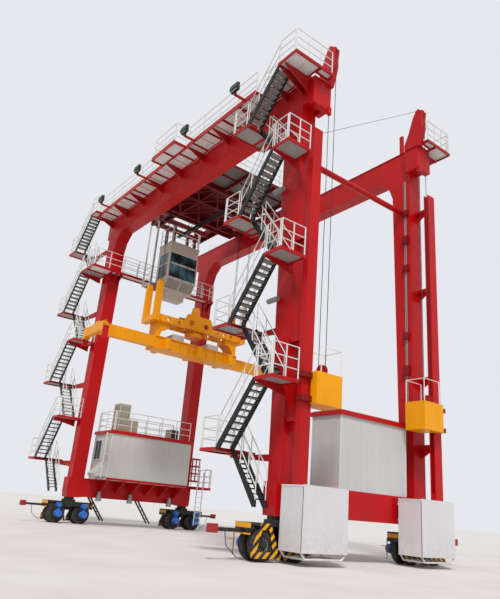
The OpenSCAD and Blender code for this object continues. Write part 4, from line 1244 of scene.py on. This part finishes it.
@dataclass
class Cab(Assembly):
    """The driver's cab under the trolley.

    Attributes:
        front: The front face across the stack.
        back: The back face across the stack.
        half: Half its width.
        sill: Height of the window sill.
        head: Height of the window head.
        mullion: Height between the two window rows.
        roof: Height of the roof.
        guard: Height of the foot guard's top.
        guard_drop: Height of the foot guard from its top to its foot.
        guard_lean: How far its foot stands back from its top.
        tray: Height of the cable tray under the trolley's floor.
        floor: Height of the trolley's floor, which the tray hangs from.
    """

    front: float = -6.0
    back: float = -7.5
    half: float = 1.04
    sill: float = 14.82
    head: float = 16.49
    mullion: float = 15.75
    roof: float = 17.25
    guard: float = 14.735
    guard_drop: float = 0.6
    guard_lean: float = 0.4
    tray: float = 18.02
    floor: float = 18.8

    def build(self) -> None:
        """Adds window frames, gaskets, wipers and a roof rim."""
        f, h = self.front, self.half
        for y in (-0.3, 0.36):
            self.block((f - 0.02, y - 0.02, self.sill), (f + 0.006, y + 0.02, self.head), 0.003)
        for y in (-h + 0.11, h - 0.11):
            self.block((f - 0.005, y - 0.02, self.sill), (f + 0.01, y + 0.02, self.head), 0.003)
        self.piece("window_bars", "trolley", Finish.BLACK)
        for z in (self.sill, self.mullion + 0.04, self.head):
            self.block((f - 0.005, -h + 0.1, z - 0.02), (f + 0.014, h - 0.1, z + 0.02), 0.003)
        for y in (-h, h):
            out = math.copysign(0.012, y)
            for x in (self.back + 0.24, (self.back + f) / 2 + 0.05, f - 0.14, f - 0.02):
                self.block((x - 0.02, y, self.sill), (x + 0.02, y + out, self.head), 0.002)
            for z in (self.sill, self.mullion + 0.04, self.head):
                self.block((self.back + 0.24, y, z - 0.018), (f - 0.14, y + out, z + 0.018), 0.002)
        self.piece("window_frames", "trolley", Finish.WHITE)
        rim = self.roof
        self.block((self.back - 0.03, -h - 0.03, rim - 0.12), (f + 0.03, h + 0.03, rim - 0.02), 0.01)
        self.block((f - 0.01, -h + 0.02, 16.56), (f + 0.02, h - 0.02, rim - 0.15), 0.008)
        self.piece("cab_rim", "trolley", Finish.BEIGE)
        self.foot_guard()
        self.cable_tray()
        for y in (-0.62, 0.05, 0.7):
            z = self.sill
            self.rod((f + 0.02, y, z + 0.02), (f + 0.02, y + 0.16, z + 0.52), 0.009, 8)
            self.block((f + 0.008, y - 0.02, z - 0.03), (f + 0.035, y + 0.03, z + 0.03), 0.004)
        self.piece("wipers", "trolley", Finish.BLACK)

    def foot_guard(self) -> None:
        """Adds the barred guard over the sloping foot window."""
        top = (self.front + 0.014, self.guard)
        foot = (top[0] - self.guard_lean, top[1] - self.guard_drop)
        half = self.half - 0.05
        bars = 11

        def on_slope(part: float) -> tuple[float, float]:
            """Gives x and z of a place between the top, 0, and the foot, 1."""
            return tuple(a + (b - a) * part for a, b in zip(top, foot))

        for part in (0.02, 0.98):
            x, z = on_slope(part)
            self.rod((x, -half, z), (x, half, z), 0.022, 10)
        for y in (-half, 0, half):
            self.rod((top[0], y, top[1]), (foot[0], y, foot[1]), 0.022, 10)
        self.piece("foot_guard", "trolley", Finish.WHITE)
        for bar in range(bars):
            x, z = on_slope((bar + 1) / (bars + 1))
            self.rod((x, -half, z), (x, half, z), 0.009, 8)
        self.piece("foot_guard_bars", "trolley", Finish.GREY)

    def cable_tray(self) -> None:
        """Adds the ladder tray that hangs under the trolley's floor."""
        x0, x1, y0, y1, z = -6.95, -1.45, -0.28, -0.05, self.tray
        thick, depth = 0.012, 0.06
        for y in (y0, y1):
            self.block((x0, y - thick, z), (x1, y + thick, z + depth), 0.003)
            for x in (x0 + 1.5, x0 + 3.4, x1 - 0.3):
                self.block((x, y - thick, z + depth), (x + 0.04, y + thick, self.floor), 0.003)
        rung = self.block((x0 + 0.1, y0, z + 0.01), (x0 + 0.14, y1, z + 0.03), 0.002)
        self.repeat(rung, 18, (0.3, 0, 0))
        for y in (-0.22, -0.165, -0.11):
            self.rod((x0 - 0.05, y, z + 0.052), (x1, y, z + 0.052), 0.022, 10)
        self.piece("cable_tray", "trolley", Finish.BLACK)


@dataclass
class Lift(Assembly):
    """Headblock, spreader, arms and their hardware.

    Attributes:
        x: The trolley's middle across the stack.
        low: Underside of the spreader.
        reach: Half the drawn length of the spreader.
        top: Underside of the headblock.
        posts_x: Distance of the rope posts from the trolley's middle.
        posts_y: Distance of the rope posts from the crane's middle along the travel.
    """

    x: float = -3.6
    low: float = 9.25
    reach: float = 6.096
    top: float = 10.84
    posts_x: float = 0.6
    posts_y: float = 2.95

    def posts(self) -> Iterator[Span]:
        """Gives x and y of each of the four rope posts."""
        for y in (-self.posts_y, self.posts_y):
            for x in (-self.posts_x, self.posts_x):
                yield self.x + x, y

    def build(self) -> None:
        """Adds flanges, bolts, twistlocks, hoses and rope sockets."""
        self.headblock()
        self.frame()
        for sign, body, name in ((-1, "front_arm", "front"), (1, "rear_arm", "rear")):
            self.arm(sign, body, name)

    def headblock(self) -> None:
        """Adds flange strips, pins, bolts and rope sockets."""
        for s in (-1, 1):
            edge = self.x + s * 0.485
            self.block((edge - 0.09, -2.75, self.top - 0.02), (edge + 0.09, 2.75, self.top), 0.004)
        for x, y in self.posts():
            for z, half, radius in ((2.05, 0.13, 0.05), (0.5, 0.12, 0.035)):
                self.rod((x - half, y, self.top + z), (x + half, y, self.top + z), radius)
        self.piece("headblock_flanges", "spreader", Finish.YELLOW)
        for s in (-1, 1):
            face = self.x + s * 0.55
            z = self.top + 0.06
            bolt = self.rod((face, -2.6, z), (face + s * 0.025, -2.6, z), 0.02, 6)
            self.repeat(bolt, 14, (0, 0.4, 0))
        for x, y in self.posts():
            for d in (-0.06, 0.06):
                self.rod((x + d, y, self.top + 2.26), (x + d, y, self.top + 2.42), 0.026, 12)
        self.piece("headblock_bolts", "spreader", Finish.GREY)

    def frame(self) -> None:
        """Adds stiffeners, covers and hoses on the main beam."""
        for s in (-1, 1):
            face = self.x + s * 0.495
            rib = self.block((face, -2.4, 9.33), (face + s * 0.05, -2.38, 9.98), 0.003)
            self.repeat(rib, 9, (0, 0.6, 0))
            self.block((face, -2.74, 9.94), (face + s * 0.06, 2.74, 9.965), 0.003)
        self.piece("spreader_ribs", "spreader", Finish.YELLOW)
        self.block((self.x - 0.42, 0.7, 10.0), (self.x + 0.42, 1.45, 10.3), 0.015)
        self.block((self.x - 0.42, -1.6, 10.0), (self.x + 0.42, -0.9, 10.34), 0.015)
        self.piece("spreader_boxes", "spreader", Finish.BEIGE)
        for d in (-0.2, 0.0, 0.2):
            self.rod((self.x + d, 1.45, 10.06), (self.x + d, 2.62, 10.02), 0.018, 10)
        self.piece("spreader_hoses", "spreader", Finish.BLACK)

    def arm(self, sign: int, body: str, name: str) -> None:
        """Adds twistlocks and guide flap hinges on one end beam.

        Args:
            sign: End along the travel, 1 or -1.
            body: The arm's body.
            name: Front or rear.
        """
        end = sign * self.reach
        for s in (-1, 1):
            x = self.x + s * 1.11
            y = sign * (self.reach - 0.166)
            lock = self.low - 0.05
            self.rod((x, y, self.low), (x, y, lock), 0.05, 20)
            self.block((x - 0.05, y - 0.028, lock - 0.05), (x + 0.05, y + 0.028, lock), 0.01)
            self.rod((x, y, 9.8), (x, y, 9.9), 0.06, 20)
        self.piece(name + "_twistlocks", body, Finish.GREY)
        for s in (-1, 1):
            x = self.x + s * 1.29
            self.rod((x, end - sign * 0.05, 9.6), (x, end - sign * 0.31, 9.6), 0.04, 14)
        inner = end - sign * 0.26
        for x in (self.x - 0.95, self.x + 0.63):
            rib = self.block((x, inner, 9.36), (x + 0.02, inner - sign * 0.05, 9.78), 0.003)
            self.repeat(rib, 2, (0.3, 0, 0))
        self.piece(name + "_arm_hinges", body, Finish.YELLOW)


@dataclass
class Ropes(Assembly):
    """The falls of rope, which on the crane grow longer or shorter with what hangs on them; here each is a
    fixed rod over the height of its imported node.

    Attributes:
        radius: Radius of a rope.
        middle: Middle of the hoist ropes across the stack.
        reach: Distances of the hoist's falls from that middle.
        along_y: Distance of the hoist's falls from the crane's middle along the travel.
    """

    radius: float = 0.013
    middle: float = -3.6
    reach: tuple = (0.54, 0.66)
    along_y: float = 2.95

    def build(self) -> None:
        """Makes the hoist's falls and the two falls of each weight."""
        places = [
            (self.middle + side * reach, end * self.along_y)
            for side in (-1, 1) for reach in self.reach for end in (-1, 1)
        ]
        self.falls("hoist_ropes", places, ("trolley", "spreader"))
        for end in ("front", "rear"):
            for kind in ("live", "dead"):
                node = f"{end}_{kind}_rope"
                low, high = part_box(node)
                middle = [(a + b) / 2 for a, b in zip(low, high)]
                place = (middle[0] - SET_X, middle[1])
                self.falls(node, [place], ("portal", f"{end}_weight"))

    def falls(self, node: str, places: list, bodies: tuple) -> None:
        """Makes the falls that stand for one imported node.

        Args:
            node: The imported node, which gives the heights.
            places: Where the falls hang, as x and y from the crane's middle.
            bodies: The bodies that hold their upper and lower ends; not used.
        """
        low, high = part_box(node)
        for x, y in places:
            self.rod((x, y, low[2]), (x, y, high[2]), self.radius, 20)
        fall = self.joined(node.replace("ropes", "falls").replace("rope", "fall"), Finish.ROPE)
        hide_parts(node)
        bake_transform(fall)


@dataclass
class Lamps(Assembly):
    """Yokes of the floodlights on the front walk.

    Attributes:
        places: Where they stand across the stack.
        y: Their place along the travel.
        level: Height of a lamp's foot.
    """

    places: tuple = (6.5, 2.3, -2.7, -7.5)
    y: float = -5.46
    level: float = 18.68

    def build(self) -> None:
        """Adds the bar that each lamp tilts on."""
        y, z = self.y - 0.125, self.level + 0.13
        for x in self.places:
            self.rod((x - 0.2, y, z), (x + 0.2, y, z), 0.03, 12)
        self.piece("lamp_yokes", "portal", Finish.ZINC)


@dataclass
class Studio:
    """Floor, backdrop light and the camera at the photograph's place.

    Attributes:
        eye: The camera's place.
        yaw: Turn about the upright, in degrees.
        pitch: Tilt upwards, in degrees.
        roll: Roll about the view, in degrees.
        focal_px: Focal length in pixels of the photograph.
        frame_px: Longer side of the photograph, in pixels.
    """

    eye: tuple = (24.38, -16.92, 1.50)
    yaw: float = 53.536
    pitch: float = 19.781
    roll: float = 4.850
    focal_px: float = 582.417
    frame_px: float = 599.0

    def build(self) -> None:
        """Sets up camera, floor, world and lamps."""
        self.camera()
        self.floor()
        self.world()
        self.sun("key", 2.6, 0.25, (38, 0, 52))
        bpy.context.scene.view_settings.view_transform = "Standard"

    def camera(self) -> None:
        """Stands the camera where the photograph was taken."""
        yaw, pitch, roll = (math.radians(v) for v in (self.yaw, self.pitch, self.roll))
        level = math.cos(pitch)
        forward = Vector((-math.sin(yaw) * level, math.cos(yaw) * level, math.sin(pitch)))
        right = Vector((math.cos(yaw), math.sin(yaw), 0))
        up = right.cross(forward)
        side = math.cos(roll) * right + math.sin(roll) * up
        over = math.cos(roll) * up - math.sin(roll) * right
        place = Matrix((side, over, -forward)).transposed().to_4x4()
        place.translation = at(*self.eye)
        data = bpy.data.cameras.new("camera")
        data.sensor_fit = "AUTO"
        data.sensor_width = 36
        data.lens = self.focal_px / self.frame_px * data.sensor_width
        data.clip_start, data.clip_end = 0.1, 500
        eye = bpy.data.objects.new("camera", data)
        eye.matrix_world = place
        bpy.context.scene.collection.objects.link(eye)
        bpy.context.scene.camera = eye

    def floor(self) -> None:
        """Lays a pale floor that keeps the crane's shadow."""
        bpy.ops.mesh.primitive_plane_add(size=600, location=(0, 0, 0))
        ground = bpy.context.object
        ground.name = "floor"
        graph = Graph("floor")
        worn = graph.patches(0.4, 4, (0.3, 0.7))
        tone = graph.add("Mix", {0: worn, 6: "#cfc9c3", 7: "#d9d4ce"}, 2, data_type="RGBA")
        graph.fill(graph.shader, {"Base Color": tone, "Roughness": 0.9})
        ground.data.materials.append(graph.material)

    def world(self) -> None:
        """Lights the scene by a pale sky, brighter where the camera sees it."""
        world = bpy.data.worlds.new("sky")
        bpy.context.scene.world = world
        world.use_nodes = True
        tree = world.node_tree
        glow = tree.nodes["Background"]
        glow.inputs[0].default_value = (0.82, 0.86, 0.92, 1)
        glow.inputs[1].default_value = 0.62
        seen = tree.nodes.new("ShaderNodeBackground")
        seen.inputs[0].default_value = linear("#e6e8ed")
        seen.inputs[1].default_value = 1.0
        path = tree.nodes.new("ShaderNodeLightPath")
        mixed = tree.nodes.new("ShaderNodeMixShader")
        either = tree.nodes.new("ShaderNodeMath")
        either.operation = "MAXIMUM"
        tree.links.new(path.outputs["Is Camera Ray"], either.inputs[0])
        tree.links.new(path.outputs["Is Glossy Ray"], either.inputs[1])
        tree.links.new(either.outputs[0], mixed.inputs[0])
        tree.links.new(glow.outputs[0], mixed.inputs[1])
        tree.links.new(seen.outputs[0], mixed.inputs[2])
        tree.links.new(mixed.outputs[0], tree.nodes["World Output"].inputs[0])

    def sun(self, name: str, strength: float, softness: float, turn: tuple) -> None:
        """Adds a distant lamp.

        Args:
            name: The lamp's name.
            strength: Its strength.
            softness: Angle it takes up in the sky, in radians.
            turn: Its rotation, in degrees.
        """
        data = bpy.data.lights.new(name, "SUN")
        data.energy, data.angle = strength, softness
        lamp = bpy.data.objects.new(name, data)
        lamp.rotation_euler = [math.radians(v) for v in turn]
        bpy.context.scene.collection.objects.link(lamp)


WHEELS = [
    f"{side}_{end}_wheels_{number}"
    for side in ("near", "far") for end in ("front", "rear") for number in ("one", "two")
]
PLAN = {
    Finish.RED: ("girders", "legs", "sills", "horns", "guide_columns", "house_roofs"),
    Finish.WALK: ("walkways",),
    Finish.LANDING: ("stair_landings",),
    Finish.TREAD: ("stair_flights",),
    Finish.WHITE: ("walkway_rails", "stair_rails", "cabinet_frames", "trolley_rails"),
    Finish.HOUSE: ("machine_houses",),
    Finish.BOX_WHITE: ("cabinets",),
    Finish.UNIT: ("roof_units",),
    Finish.LAMP: ("floodlights",),
    Finish.BLACK: ("sill_ladders", "bogie_frames"),
    Finish.BUMPER: ("bumper_arms",),
    Finish.STRIPES: ("bogie_guards",),
    Finish.BLUE: ("drive_motors",),
    Finish.RUBBER: WHEELS,
    Finish.TROLLEY: ("trolley_frame",),
    Finish.GREY: ("trolley_machinery",),
    Finish.BEIGE: ("cab_body",),
    Finish.GLASS: ("cab_glass",),
    Finish.YELLOW: ("headblock", "spreader_frame"),
    Finish.ARMS: ("spreader_arm_front", "spreader_arm_rear"),
    Finish.WEIGHT: ("weight_front", "weight_rear"),
}


def main() -> None:
    """Dresses the crane and sets up the studio."""
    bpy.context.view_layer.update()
    Studio().build()
    for finish, nodes in PLAN.items():
        dress(finish, nodes)
    for assembly in (
        Portal(), Walks(), Stairs(), Houses(), Cabinets(), RunningGear(), Cab(), Lift(), Ropes(), Lamps()
    ):
        assembly.build()


if __name__ == "__main__":
    main()
